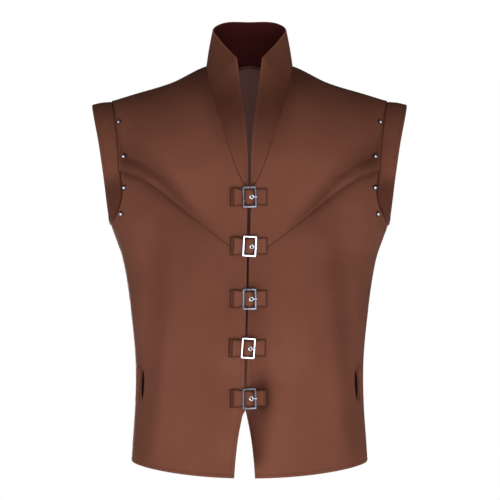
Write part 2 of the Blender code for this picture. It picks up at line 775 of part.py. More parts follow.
def add_curve(name, lines, finish, matrix):
    """A curve object of straight runs. Each line is its points and whether it closes."""
    curve = bpy.data.curves.new(name, "CURVE")
    for points, cyclic in lines:
        spline = curve.splines.new("POLY")
        spline.points.add(len(points) - 1)
        for corner, point in zip(spline.points, points):
            corner.co = (*point, 0.0, 1.0) if len(point) == 2 else (*point, 1.0)
        spline.use_cyclic_u = cyclic
    curve.materials.append(material(finish))
    piece = bpy.data.objects.new(name, curve)
    piece.matrix_world = matrix
    VEST.objects.link(piece)
    return curve


def add_buckle(number, buckle, base):
    """A flat steel frame with a centre bar, and its prong hooked round the bar."""
    matrix = belt_matrix(buckle, base)
    window = (BUCKLE_WIDTH - 2 * BUCKLE_BAR - CENTRE_BAR) / 2
    window_height = BUCKLE_HEIGHT - 2 * BUCKLE_BAR
    outline = rounded_outline(BUCKLE_WIDTH, BUCKLE_HEIGHT, BUCKLE_CORNER, BUCKLE_CORNER_STEPS)
    lines = [(outline, True)]
    for side in (LEFT, RIGHT):
        middle = side * (CENTRE_BAR + window) / 2
        hole = rounded_outline(window, window_height, BUCKLE_WINDOW_CORNER, 1)
        lines.append(([(x + middle, y) for x, y in hole], True))
    frame = add_curve(f"buckle_{number}", lines, STEEL, matrix)
    frame.dimensions = "2D"
    frame.fill_mode = "BOTH"
    frame.extrude = BUCKLE_THICKNESS / 2

    hook = []
    for angle in PRONG_ANGLES:
        way = math.radians(angle)
        hook.append((PRONG_RING * math.cos(way), 0.0, PRONG_RING * math.sin(way)))
    arm = [(bend.along, 0.0, bend.height - BUCKLE_MIDDLE) for bend in PRONG_ARM]
    prong = add_curve(f"prong_{number}", [(hook + arm, False)], STEEL, matrix)
    prong.dimensions = "3D"
    prong.bevel_depth = PRONG_RADIUS
    prong.bevel_resolution = 1
    prong.use_fill_caps = True


def add_rivet(name, side, rivet):
    """A domed rivet, turned about its own axis."""
    point, normal = front_place(side * rivet.x, rivet.height, FLAP_HOLLOW)
    seat = rivet.gap + (FLAP_TOP if rivet.on_flap else 0)
    mesh = bpy.data.meshes.new(name)
    corners = [(turned.radius, 0.0, turned.rise) for turned in RIVET_PROFILE]
    mesh.from_pydata(corners, [(i, i + 1) for i in range(len(corners) - 1)], [])
    mesh.materials.append(material(STEEL))
    piece = bpy.data.objects.new(name, mesh)
    piece.location = point + normal * seat
    piece.rotation_euler = normal.to_track_quat("Z", "Y").to_euler()
    VEST.objects.link(piece)
    turning = piece.modifiers.new("turning", "SCREW")
    turning.steps = turning.render_steps = RIVET_STEPS
    turning.use_merge_vertices = True
    turning.merge_threshold = 1e-5


def add_pocket(word, side):
    """A slit cut through the front, and the welt that is sewn beside it."""
    middle, normal = front_place(side * POCKET_X, POCKET_HEIGHT)
    net = bmesh.new()
    bmesh.ops.create_cube(net, size=1)
    mesh = bpy.data.meshes.new("slit_" + word)
    net.to_mesh(mesh)
    net.free()
    cutter = bpy.data.objects.new("slit_" + word, mesh)
    across = Vector((0, 0, 1)).cross(normal).normalized()
    up = normal.cross(across)
    cutter.matrix_world = (
        Matrix.Translation(middle)
        @ Matrix((across, up, normal)).transposed().to_4x4()
        @ Matrix.Rotation(math.radians(side * POCKET_TILT), 4, "Z")
        @ Matrix.Diagonal((POCKET_SLIT, POCKET_LENGTH, POCKET_CUT_DEPTH, 1))
    )
    CUTTERS.objects.link(cutter)
    cutter.hide_render = True
    cutter.display_type = "WIRE"
    slit = bpy.data.objects["front_" + word].modifiers.new("pocket", "BOOLEAN")
    slit.operation = "DIFFERENCE"
    slit.object = cutter

    net = bmesh.new()
    bmesh.ops.create_grid(net, x_segments=WELT_COLUMNS, y_segments=WELT_ROWS, size=0.5)
    for corner in net.verts:
        share = corner.co.x * side + 0.5
        height = POCKET_HEIGHT + corner.co.y * (POCKET_LENGTH + WELT_EXTRA_LENGTH)
        x = POCKET_X + WELT_INNER + (WELT_OUTER - WELT_INNER) * share
        lean = math.tan(math.radians(POCKET_TILT)) * (height - POCKET_HEIGHT)
        point, normal = front_place(side * (x - lean), height)
        corner.co = point + normal * (TRIM_GAP + WELT_CLOTH)
    piece = finished("pocket_welt_" + word, net, BROWN_CLOTH)
    cloth = piece.modifiers.new("cloth", "SOLIDIFY")
    cloth.thickness = WELT_CLOTH
    cloth.offset = ON_INNER_SIDE
    cloth.use_even_offset = True


for leftover in list(bpy.data.objects):
    bpy.data.objects.remove(leftover)
VEST = bpy.data.collections.new("renaissance_vest")
CUTTERS = bpy.data.collections.new("cutters")
bpy.context.scene.collection.children.link(VEST)
bpy.context.scene.collection.children.link(CUTTERS)

for side, word in ((LEFT, "left"), (RIGHT, "right")):
    add_panel("front_" + word, side, FRONT, FRONT_ROWS)
    add_panel("back_" + word, side, BACK, BACK_ROWS)
    add_flap("yoke_" + word, side)
    add_collar("collar_" + word, side)
    add_band("armhole_band_" + word, side)
    add_pocket(word, side)
    for number, rivet in enumerate(RIVETS, 1):
        add_rivet(f"rivet_{word}_{number}", side, rivet)

anchor_bends = anchor_outline()
slot = {(column, 1) for column in range(SLOT_FIRST_BEND, len(anchor_bends) - 1)}
for number, buckle in enumerate(BUCKLES, 1):
    base = TRIM_GAP + (FLAP_TOP if buckle.on_flap else 0)
    add_strip(f"strap_{number}", STRAP_BENDS, base, buckle, {(STRAP_HOLE_BEND, 1)}, ON_INNER_SIDE)
    add_strip(f"anchor_{number}", anchor_bends, base, buckle, slot, ON_BOTH_SIDES)
    add_buckle(number, buckle, base)
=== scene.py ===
"""Renaissance vest: the looks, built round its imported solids.

Metres, +Z up, the front faces -Y and +X is to the viewer's right. The vest is filled out as
if worn, with its origin midway between the two side neck points.
"""

import math
import random
from collections import namedtuple

import bmesh
import bpy
from mathutils import Matrix, Vector


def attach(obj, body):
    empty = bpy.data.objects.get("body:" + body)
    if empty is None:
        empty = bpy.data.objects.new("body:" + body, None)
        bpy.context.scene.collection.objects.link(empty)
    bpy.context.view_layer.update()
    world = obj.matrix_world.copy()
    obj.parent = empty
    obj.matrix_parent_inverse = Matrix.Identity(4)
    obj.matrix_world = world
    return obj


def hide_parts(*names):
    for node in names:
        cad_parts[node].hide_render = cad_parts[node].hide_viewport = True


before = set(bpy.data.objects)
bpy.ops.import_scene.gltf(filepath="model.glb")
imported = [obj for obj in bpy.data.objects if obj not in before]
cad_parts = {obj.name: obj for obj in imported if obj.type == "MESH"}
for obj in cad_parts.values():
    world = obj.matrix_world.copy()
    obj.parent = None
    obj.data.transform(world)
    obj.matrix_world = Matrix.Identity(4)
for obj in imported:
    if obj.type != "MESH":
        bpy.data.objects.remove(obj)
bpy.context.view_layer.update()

# Fronts: two panels of smooth brushed brown cloth, from the hem up to the shoulder seam.
# Each hangs from the shoulder, meets its neighbour at the centre front, and opens in a V at
# the neck and again at the hem, where the edge is turned under and stitched.
CLOTH = 0.0016
CHEST_HEIGHT = -0.190
SQUARENESS = 2 / 2.3


def table(fields, *rows):
    """A table with named columns and a row for each place or piece."""
    Row = namedtuple("Row", fields)
    return [Row(*row) for row in rows]


SECTIONS = table(
    "height half_width front back",
    (-0.652, 0.1955, 0.121, 0.118),
    (-0.622, 0.1935, 0.117, 0.112),
    (-0.553, 0.1890, 0.112, 0.101),
    (-0.483, 0.1890, 0.110, 0.097),
    (-0.403, 0.1965, 0.113, 0.100),
    (-0.354, 0.2030, 0.117, 0.104),
    (-0.314, 0.2110, 0.120, 0.108),
    (-0.284, 0.2215, 0.123, 0.110),
    (-0.262, 0.2290, 0.124, 0.111),
    (-0.190, 0.2400, 0.125, 0.113),
)
HEM_BOW = 0.016
HEM_BOW_REACH = 0.120
RIDGE_DEPTH = 0.006
RIDGE = table(
    "half_width height",
    (0.000, 0.008),
    (0.0695, -0.0006),
    (0.128, -0.0282),
    (0.1925, -0.0480),
    (0.240, -0.0625),
)
NAPE_RISE = 0.040
NAPE_WIDTH = 0.050
NAPE_DEPTH = 0.062
NECK_HALF_WIDTH = 0.0695
OPENING = table(
    "height half_width",
    (-0.668, 0.0167),
    (-0.640, 0.0146),
    (-0.610, 0.0112),
    (-0.591, 0.0080),
    (-0.572, 0.0040),
    (-0.560, 0.0013),
    (-0.300, 0.0013),
    (-0.262, 0.0024),
    (-0.235, 0.0024),
    (-0.208, 0.0013),
    (-0.202, 0.0072),
    (-0.1906, 0.0134),
    (-0.170, 0.0225),
    (-0.150, 0.0293),
    (-0.1165, 0.0402),
    (-0.085, 0.0506),
    (-0.0445, 0.0626),
    (0.001, NECK_HALF_WIDTH),
)
LEAN = 0.0078
LEAN_TOP = -0.208
LEAN_BOTTOM = -0.560
LEFT, RIGHT = -1, 1
FRONT, BACK = -1, 1
# The centre-back vent, which opens wider on the left, as the fronts lean that way
VENTS = {
    LEFT: table(
        "height half_width",
        (-0.668, 0.0252), (-0.623, 0.0206), (-0.597, 0.0152), (-0.583, 0.0098), (-0.570, 0.0),
    ),
    RIGHT: table(
        "height half_width",
        (-0.668, 0.0210), (-0.630, 0.0180), (-0.595, 0.0100), (-0.572, 0.0),
    ),
}
ARMHOLE_DEPTH = 0.004
ARMHOLE_WIDEST = -0.195
ARMHOLE_RISE = 0.1358
ARMHOLE_DROP = 0.069
ARMHOLE_TOP_FULLNESS = 1.75
ARMHOLE_BOTTOM_FULLNESS = 2.3
ARMHOLE_HALF_FRONT = 0.0755
ARMHOLE_HALF_BACK = 0.0790
ARMPIT_ROW = -0.0745
COLLAR_END_ROW = -0.012
TOP_ROW = 0.99999
BAND_TOP_ROW = 0.9988
# The flap's lower edge, because the front dips under it as the flap does above it
FLAP_EDGE = table(
    "half_width height",
    (0.000, -0.3120),
    (0.033, -0.2975),
    (0.090, -0.2520),
    (0.137, -0.2125),
    (0.158, -0.1975),
    (0.176, -0.1870),
    (0.200, -0.1790),
    (0.216, -0.1755),
)

QUARTER = math.pi / 2
NUDGE = 1e-4
HEM_ROW = SECTIONS[0].height - CHEST_HEIGHT


def smooth(rows, at, column):
    """A column's value at a place between a table's rows, on a smooth curve through them."""
    index = rows[0]._fields.index(column)
    last = len(rows) - 1
    at = min(max(at, rows[0][0]), rows[last][0])
    span = next(i for i in range(last) if at <= rows[i + 1][0])

    def slope(i):
        before, after = rows[max(i - 1, 0)], rows[min(i + 1, last)]
        return (after[index] - before[index]) / (after[0] - before[0])

    length = rows[span + 1][0] - rows[span][0]
    t = (at - rows[span][0]) / length
    return (
        rows[span][index] * (1 + 2 * t) * (1 - t) ** 2
        + rows[span + 1][index] * t * t * (3 - 2 * t)
        + length * slope(span) * t * (1 - t) ** 2
        - length * slope(span + 1) * t * t * (1 - t)
    )


def straight(rows, at, column):
    """A column's value at a place between a table's rows, on straight lines through them."""
    at = min(max(at, rows[0][0]), rows[-1][0])
    for low, high in zip(rows, rows[1:]):
        if at <= high[0]:
            share = (at - low[0]) / (high[0] - low[0])
            return getattr(low, column) * (1 - share) + getattr(high, column) * share


def ease(share):
    share = min(max(share, 0), 1)
    return share * share * (3 - 2 * share)


def bell(distance, width):
    """1 at a line and fading softly to 0 on both sides of it."""
    return math.exp(-((distance / width) ** 2))


def rounded(value):
    """One arm of the sections' rounded square, with its sign kept."""
    return math.copysign(abs(value) ** SQUARENESS, value)


def body(face, turn, level):
    """The worn form, on the +X side. turn runs from 0 at the centre to 90 degrees at the side."""
    height = CHEST_HEIGHT + min(level, 0)
    half_width = smooth(SECTIONS, height, "half_width")
    depth = smooth(SECTIONS, height, "front" if face == FRONT else "back")
    x = half_width * rounded(math.sin(turn))
    y = face * depth * rounded(math.cos(turn))
    if level <= 0:
        bow = HEM_BOW * ease((HEM_ROW + HEM_BOW_REACH - level) / HEM_BOW_REACH)
        return Vector((x, y, height - bow * (1 - (x / half_width) ** 2)))
    fold = level * QUARTER
    ridge = smooth(RIDGE, abs(x), "height")
    z = CHEST_HEIGHT + math.sin(fold) * (ridge - CHEST_HEIGHT)
    if face == BACK:
        z += NAPE_RISE * math.exp(-((x / NAPE_WIDTH) ** 2)) * math.sin(2 * fold)
    return Vector((x, RIDGE_DEPTH + (y - RIDGE_DEPTH) * math.cos(fold), z))


def body_normal(face, turn, level):
    turn = min(turn, QUARTER - NUDGE)
    across = body(face, turn + NUDGE, level) - body(face, turn - NUDGE, level)
    up = body(face, turn, level + NUDGE) - body(face, turn, level - NUDGE)
    normal = across.cross(up).normalized()
    return normal if face == FRONT else -normal


# Short creases across the cloth: troughs below zero and ridges above, seen from the front
CREASES = table(
    "side face x0 z0 x1 z1 width depth",
    (LEFT, FRONT, 0.014, -0.520, 0.030, -0.640, 0.009, -0.0012),
    (RIGHT, FRONT, 0.016, -0.500, 0.013, -0.640, 0.008, -0.0016),
    (RIGHT, FRONT, 0.028, -0.455, 0.022, -0.560, 0.010, 0.0011),
    (LEFT, FRONT, 0.020, -0.420, 0.080, -0.450, 0.009, -0.0010),
    (RIGHT, FRONT, 0.030, -0.345, 0.095, -0.372, 0.010, -0.0009),
    (LEFT, FRONT, 0.158, -0.290, 0.196, -0.380, 0.011, -0.0012),
    (RIGHT, FRONT, 0.160, -0.285, 0.192, -0.370, 0.010, -0.0013),
    (LEFT, FRONT, 0.190, -0.262, 0.168, -0.330, 0.009, 0.0010),
    (RIGHT, FRONT, 0.188, -0.262, 0.172, -0.322, 0.009, 0.0011),
    (LEFT, BACK, 0.020, -0.300, 0.120, -0.345, 0.014, -0.0014),
    (RIGHT, BACK, 0.030, -0.330, 0.130, -0.362, 0.013, -0.0012),
    (LEFT, BACK, 0.060, -0.120, 0.150, -0.190, 0.014, -0.0013),
    (RIGHT, BACK, 0.052, -0.110, 0.160, -0.185, 0.015, -0.0015),
    (LEFT, BACK, 0.140, -0.250, 0.178, -0.330, 0.011, 0.0012),
    (RIGHT, BACK, 0.146, -0.262, 0.180, -0.350, 0.011, 0.0012),
)
CREASE_REACH = 3
CREASE_TAPER = 1.5


def crease_height(side, face, point):
    """How far the short creases push the cloth out at a point of the worn form."""
    height = 0
    for crease in CREASES:
        if (crease.side, crease.face) != (side, face):
            continue
        run_x, run_z = crease.x1 - crease.x0, crease.z1 - crease.z0
        length = math.hypot(run_x, run_z)
        along = ((point.x - crease.x0) * run_x + (point.z - crease.z0) * run_z) / length**2
        off = ((point.x - crease.x0) * run_z - (point.z - crease.z0) * run_x) / length
        if 0 < along < 1 and abs(off) < CREASE_REACH * crease.width:
            strength = math.sin(math.pi * along) ** CREASE_TAPER
            height += crease.depth * strength * bell(off, crease.width)
    return height


# Long soft folds that hang down the panels
FOLDS = table(
    "side face top_x bottom_x top bottom width depth",
    (LEFT, FRONT, 0.128, 0.181, -0.195, -0.665, 0.018, -0.0048),
    (LEFT, FRONT, 0.085, 0.120, -0.250, -0.640, 0.020, 0.0014),
    (LEFT, FRONT, 0.050, 0.040, -0.300, -0.660, 0.024, 0.0012),
    (RIGHT, FRONT, 0.130, 0.180, -0.195, -0.665, 0.018, -0.0048),
    (RIGHT, FRONT, 0.080, 0.112, -0.280, -0.640, 0.022, 0.0015),
    (RIGHT, FRONT, 0.002, 0.006, -0.270, -0.640, 0.024, -0.0042),
    (RIGHT, FRONT, 0.023, 0.014, -0.480, -0.650, 0.012, -0.0045),
    (LEFT, BACK, 0.060, 0.082, -0.180, -0.640, 0.022, -0.0030),
    (LEFT, BACK, 0.112, 0.130, -0.220, -0.640, 0.022, 0.0028),
    (RIGHT, BACK, 0.070, 0.080, -0.200, -0.640, 0.022, -0.0028),
    (RIGHT, BACK, 0.120, 0.126, -0.250, -0.640, 0.020, 0.0026),
)
FOLD_FADE_IN = 0.33
FOLD_FADE_OUT = 0.17


def folds_at(side, face, x, z):
    """Each long fold of a panel, with how far into it a place is: 1 along its middle."""
    for fold in FOLDS:
        if (fold.side, fold.face) == (side, face) and fold.bottom < z < fold.top:
            down = (fold.top - z) / (fold.top - fold.bottom)
            middle = fold.top_x + (fold.bottom_x - fold.top_x) * down
            strength = ease(down / FOLD_FADE_IN) * ease((1 - down) / FOLD_FADE_OUT)
            yield fold, strength * bell(x - middle, fold.width)


def fold_height(side, face, point):
    """How far the long folds and the creases push the cloth out at a point of the worn form."""
    height = crease_height(side, face, point)
    for fold, share in folds_at(side, face, point.x, point.z):
        height += fold.depth * share
    return height


# The hollow above the flap's edge, where the cloth sinks before it rises to the free edge
HOLLOW = table(
    "half_width above lower upper",
    (0.050, 0.0110, 0.0070, 0.0120),
    (0.110, 0.0150, 0.0085, 0.0200),
    (0.150, 0.0240, 0.0120, 0.0340),
    (0.185, 0.0280, 0.0140, 0.0400),
)
HOLLOW_DEPTH = -0.0045
HOLLOW_START = 0.032
HOLLOW_FADE = 0.090
ARMHOLE_HOLLOW_START = 0.160
ARMHOLE_HOLLOW_FADE = 0.040
ARMHOLE_HOLLOW_MORE = 0.8
UNDER_EDGE_DEPTH = -0.0036
UNDER_EDGE_ABOVE = 0.003
UNDER_EDGE_WIDTH = 0.011


def hollow_share(x, z):
    """How far into the hollow above the flap's edge a place is: 1 at its deepest line."""
    over = z - straight(FLAP_EDGE, x, "height") - smooth(HOLLOW, x, "above")
    width = smooth(HOLLOW, x, "lower" if over < 0 else "upper")
    return bell(over, width) * ease((x - HOLLOW_START) / HOLLOW_FADE)


def hollow_height(point, under_flap):
    """How far the front sinks along the flap's edge; the layer under it sinks more."""
    near_armhole = ease((point.x - ARMHOLE_HOLLOW_START) / ARMHOLE_HOLLOW_FADE)
    depth = HOLLOW_DEPTH * (1 + ARMHOLE_HOLLOW_MORE * near_armhole) * hollow_share(point.x, point.z)
    if under_flap:
        above = point.z - straight(FLAP_EDGE, point.x, "height")
        reach = ease((point.x - HOLLOW_START) / HOLLOW_FADE)
        depth += UNDER_EDGE_DEPTH * reach * bell(above - UNDER_EDGE_ABOVE, UNDER_EDGE_WIDTH)
    return depth


# The valley along the neck seam, where the collar rises from the chest
VALLEY_DEPTH = -0.0042
VALLEY_WIDTH = 0.015
VALLEY_LOW = -0.165
VALLEY_LOW_FADE = 0.080
VALLEY_HIGH = -0.004
VALLEY_HIGH_FADE = 0.035


def valley_height(point):
    """How far the cloth sinks beside the neck seam."""
    strength = ease((point.z - VALLEY_LOW) / VALLEY_LOW_FADE)
    strength *= ease((VALLEY_HIGH - point.z) / VALLEY_HIGH_FADE)
    away = point.x - straight(OPENING, point.z, "half_width")
    return VALLEY_DEPTH * strength * bell(away, VALLEY_WIDTH)


# Painted shade and shadow on the fronts and flaps: under the flap's edge, in the folds, at the
# waist, in the hollow, where the last buckle draws the cloth, by the vent, at the neck and on the
# shoulders
UNDER_FLAP_PAINTED_SHADOW = 0.45
UNDER_FLAP_SHADOW_REACH = 0.045
FOLD_PAINTED_SHADE = 0.34
DEEPEST_FOLD = -0.0048
WAIST_PAINTED_SHADE = 0.36
WAIST_SHADE_HEIGHT = -0.350
WAIST_SHADE_REACH = 0.095
HOLLOW_PAINTED_SHADE = 0.50
DRAWN_PAINTED_SHADOW = 1.05
DRAWN_X = 0.020
DRAWN_HEIGHT = -0.536
DRAWN_WIDTH = 0.018
DRAWN_REACH = 0.031
VENT_PAINTED_SHADOW = 0.95
VENT_SHADOW_WIDTH = 0.013
VENT_SHADOW_TOP = -0.550
VENT_SHADOW_BOTTOM = -0.660
VENT_SHADOW_FADE = 0.020
NECK_PAINTED_SHADE = 0.35
NECK_SHADE_WIDTH = 0.022
SHOULDER_PAINTED_SHADE = 0.60
SHOULDER_SHADE_HEIGHT = -0.070
SHOULDER_SHADE_FADE = 0.050
SHOULDER_SHADE_X = 0.075
SHOULDER_SHADE_WIDTH = 0.045


def drawn_tone(point):
    """How much painted shadow darkens the right front beside the last buckle and down its vent."""
    drawn = bell(point.x - DRAWN_X, DRAWN_WIDTH) * bell(point.z - DRAWN_HEIGHT, DRAWN_REACH)
    away = point.x - straight(OPENING, point.z, "half_width") + LEAN
    vent = ease((VENT_SHADOW_TOP - point.z) / VENT_SHADOW_FADE)
    vent *= ease((point.z - VENT_SHADOW_BOTTOM) / VENT_SHADOW_FADE) * bell(away, VENT_SHADOW_WIDTH)
    return DRAWN_PAINTED_SHADOW * drawn + (VENT_PAINTED_SHADOW * vent if point.x > -LEAN else 0.0)


def front_tone(point):
    """How much painted shade and shadow darken a front or a flap."""
    x = abs(point.x)
    hollow = HOLLOW_PAINTED_SHADE * hollow_share(x, point.z)
    for fold, share in folds_at(RIGHT if point.x > 0 else LEFT, FRONT, x, point.z):
        hollow += FOLD_PAINTED_SHADE * share * max(fold.depth / DEEPEST_FOLD, 0)
    below = straight(FLAP_EDGE, x, "height") - point.z
    waist = WAIST_PAINTED_SHADE * bell(point.z - WAIST_SHADE_HEIGHT, WAIST_SHADE_REACH)
    if below > 0:
        waist += UNDER_FLAP_PAINTED_SHADOW * bell(below, UNDER_FLAP_SHADOW_REACH) * ease((x - HOLLOW_START) / HOLLOW_FADE)
    away = x - straight(OPENING, point.z, "half_width")
    neck = NECK_PAINTED_SHADE * bell(away, NECK_SHADE_WIDTH) * ease((point.z - VALLEY_LOW) / VALLEY_LOW_FADE)
    shoulder = SHOULDER_PAINTED_SHADE * ease((point.z - SHOULDER_SHADE_HEIGHT) / SHOULDER_SHADE_FADE)
    shoulder *= bell(x - SHOULDER_SHADE_X, SHOULDER_SHADE_WIDTH)
    return hollow + waist + max(neck, shoulder) + drawn_tone(point)


HALVINGS = 26


def last_turn(holds, low, high):
    """The furthest turn from low towards high at which a test still holds."""
    if holds(high):
        return high
    for _ in range(HALVINGS):
        middle = (low + high) / 2
        if holds(middle):
            low = middle
        else:
            high = middle
    return low


BEFORE_CENTRE = -0.2


def inner_turn(side, face, level):
    """The turn of a panel's inner edge: the neck seam, the front edge or the centre back."""

    def in_opening(turn):
        point = body(face, turn, level)
        if face == BACK:
            neck = (point.x / NECK_HALF_WIDTH) ** 2 + ((point.y - RIDGE_DEPTH) / NAPE_DEPTH) ** 2
            vent = straight(VENTS[side], point.z, "half_width")
            return point.x < vent or (level > 0 and neck < 1)
        leaning = (LEAN_TOP - point.z) / (LEAN_TOP - LEAN_BOTTOM)
        lean = -LEAN * min(max(leaning, 0), 1)
        return point.x < straight(OPENING, point.z, "half_width") + side * lean

    return last_turn(in_opening, BEFORE_CENTRE, QUARTER)


INSIDE_ARMHOLE = 0.6


def outer_turn(face, level):
    """The turn of a panel's outer edge: the armhole's egg, or the side seam below it."""
    half_depth = ARMHOLE_HALF_FRONT if face == FRONT else ARMHOLE_HALF_BACK

    def outside_egg(turn):
        point = body(face, turn, level)
        across = abs(point.y - ARMHOLE_DEPTH) / half_depth
        up = point.z - ARMHOLE_WIDEST
        reach, fullness = ARMHOLE_RISE, ARMHOLE_TOP_FULLNESS
        if up < 0:
            reach, fullness = ARMHOLE_DROP, ARMHOLE_BOTTOM_FULLNESS
        return across**fullness + (abs(up) / reach) ** fullness > 1

    return last_turn(outside_egg, INSIDE_ARMHOLE, QUARTER)


def edge_turns(side, face, level):
    """The turns of a panel's inner and outer edges."""
    start = inner_turn(side, face, level)
    return start, outer_turn(face, level) if level > ARMPIT_ROW else QUARTER


def mirrored(side, point):
    return Vector((side * point.x, point.y, point.z))


EDGE_FADE = 0.125
ARMHOLE_FADE = 0.07


def cloth_point(side, face, turn, level, edges, under_flap=True, folds=1.0):
    """A place on a panel, and the direction in which its layers are stacked.

    folds is the share of the folds' height to use: none where a belt bridges them.
    """
    point = body(face, turn, level)
    normal = body_normal(face, turn, level)
    share = (turn - edges[0]) / (edges[1] - edges[0])
    height = folds * fold_height(side, face, point) * ease((1 - share) / EDGE_FADE)
    if face == BACK:
        height *= ease(share / EDGE_FADE)
    else:
        height += hollow_height(point, under_flap) * ease((1 - share) / ARMHOLE_FADE)
        height += valley_height(point)
    point += normal * height
    return mirrored(side, point), mirrored(side, normal)


LEVEL_ROUNDS = 5


def front_place(x, height, under_flap=True, folds=1.0):
    """A place on the closed front by its distance from the centre, and its outward direction."""
    side = RIGHT if x >= 0 else LEFT
    level = height - CHEST_HEIGHT
    if level > 0:
        level = math.asin(level / (smooth(RIDGE, abs(x), "height") - CHEST_HEIGHT)) / QUARTER
    for _ in range(LEVEL_ROUNDS):
        half_width = smooth(SECTIONS, CHEST_HEIGHT + min(level, 0), "half_width")
        turn = math.asin((abs(x) / half_width) ** (1 / SQUARENESS))
        if level < 0:
            level += height - body(FRONT, turn, level).z
    edges = edge_turns(side, FRONT, level)
    return cloth_point(side, FRONT, turn, level, edges, under_flap, folds)


def distances(points):
    """How far each point lies along a line of points."""
    along = [0.0]
    for before, after in zip(points, points[1:]):
        along.append(along[-1] + (after - before).length)
    return along


FINE_SHARE = 0.35


def spread(length, fine, middle_steps):
    """Places along an edge to edge line: close together near both ends and even between."""
    scale = min(1, length * FINE_SHARE / fine[-1])
    near = [place * scale for place in fine]
    start, end = near[-1], length - near[-1]
    even = [start + (end - start) * i / middle_steps for i in range(1, middle_steps)]
    return near + even + [length - place for place in reversed(near)]


def place_at(values, along, place):
    """The value that a list of values has at a distance, by their distances along a line."""
    last = len(values) - 2
    i = next((i for i in range(last + 1) if place <= along[i + 1]), last)
    share = (place - along[i]) / (along[i + 1] - along[i])
    return values[i] + (values[i + 1] - values[i]) * min(share, 1)


# How the edges are made: a seam's dip and swell, and a turned fold with its row of stitches
STITCH_LINE = 0.0060
SEAM_DIP_WIDTH = 0.0013
SEAM_SWELL_AWAY = 0.0035
SEAM_SWELL_WIDTH = 0.0022
STITCH_DIP = 0.00028
STITCH_DIP_WIDTH = 0.0009
# Painted shade along the groove of each stitch line
STITCH_SHADE = 0.22
EDGE_PUFF = 0.00012
EDGE_ROUND = 0.0007
EDGE_THINNING = 0.32
PAINTED_EDGE_WIDTH = 0.0015
NEAR_EDGE = (0, 0.0004, 0.0009, 0.0016, 0.0028, 0.0042, 0.0052, 0.0060, 0.0068, 0.0080, 0.0115)
STITCH_NEIGHBOUR = NEAR_EDGE.index(STITCH_LINE)
# Highlight is how far a rim is painted pale, as a painted highlight on its rolled edge, and shade
# how far it is painted dark, fading over its width: painted shade in seams and at rolled rims,
# and painted shadow under the flap's edge and round the straps and tabs
EDGE_KINDS = {kind.name: kind for kind in table(
    "name turned dip swell wear shade shade_width",
    ("none", False, 0.0, 0.0, 0.0, 0.0, 0.0010),
    ("seam", False, 0.0008, 0.0003, 0.0, 1.0, 0.0022),
    ("soft", False, 0.0004, 0.0, 0.0, 0.25, 0.0022),
    ("turned", True, 0.0, 0.0, 0.1, 0.8, 0.0009),
    ("bright", True, 0.0, 0.0, 1.0, 0.0, 0.0010),
    ("bound", True, 0.0, 0.0, 0.0, 1.35, 0.0021),
    ("strap", True, 0.0, 0.0, 0.0, 1.5, 0.0021),
    ("tab end", True, 0.0, 0.0, 0.0, 1.5, 0.0036),
)}
Edges = namedtuple("Edges", "first last bottom top")


def edge_kind(kinds, place):
    """The kind of an edge at a place along it. An edge has one kind, or one for each place."""
    return EDGE_KINDS[kinds if isinstance(kinds, str) else kinds[place]]


def edge_relief(kind, away, stitch):
    """How far the cloth stands out, away metres in from an edge of this kind."""
    swell = kind.swell * bell(away - SEAM_SWELL_AWAY, SEAM_SWELL_WIDTH)
    relief = swell - kind.dip * bell(away, SEAM_DIP_WIDTH)
    if kind.turned:
        relief += EDGE_PUFF * math.sin(math.pi * min(away / stitch, 1))
        relief -= STITCH_DIP * bell(away - stitch, STITCH_DIP_WIDTH)
    return relief


def pressed(edges, row, column, away, stitch):
    """What a panel's edges do at a place: its relief, how thinned it is, and its painted highlight and
    painted shade.
    """
    relief, thin, worn, dark = 0.0, 0.0, 0.0, 0.0
    for i, (kinds, distance) in enumerate(zip(edges, away)):
        kind = edge_kind(kinds, row if i < 2 else column)
        relief += edge_relief(kind, distance, stitch)
        worn = max(worn, kind.wear * bell(distance, PAINTED_EDGE_WIDTH))
        dark = max(dark, kind.shade * bell(distance, kind.shade_width))
        if kind.turned:
            thin = max(thin, bell(distance, EDGE_ROUND))
            dark = max(dark, STITCH_SHADE * bell(distance - stitch, PAINTED_EDGE_WIDTH))
    return relief, thin, worn, dark


def stitch_lines(outer, directions, edges, height, width):
    """The lines beside the turned edges along which the stitches run."""
    near = STITCH_NEIGHBOUR
    borders = (
        (edges.first, [(row, near) for row in range(height)]),
        (edges.last, [(row, width - 1 - near) for row in range(height)]),
        (edges.bottom, [(near, column) for column in range(width)]),
        (edges.top, [(height - 1 - near, column) for column in range(width)]),
    )
    lines = []
    for kinds, places in borders:
        line = [
            (outer[place].co.copy(), directions[place])
            for i, place in enumerate(places) if edge_kind(kinds, i).turned
        ]
        if len(line) > 1:
            lines.append(line)
    return lines


def close_wall(mesh, outer, inner, height, width, ring, lined):
    """Joins the corners of a wall's two sides into faces, and the sides along their edges."""
    for row in range(height - 1):
        for column in range(width if ring else width - 1):
            after = (column + 1) % width
            cell = ((row, column), (row, after), (row + 1, after), (row + 1, column))
            mesh.faces.new([outer[place] for place in cell])
            face = mesh.faces.new([inner[place] for place in cell])
            face.material_index = 1 if lined else 0
    twin = {outer[place]: inner[place] for place in outer}
    for edge in [edge for edge in mesh.edges if edge.is_boundary and edge.verts[0] in twin]:
        first, second = edge.verts
        mesh.faces.new((first, second, twin[second], twin[first]))
    bmesh.ops.recalc_face_normals(mesh, faces=mesh.faces[:])
    if mesh.calc_volume(signed=True) < 0:
        bmesh.ops.reverse_faces(mesh, faces=mesh.faces[:])


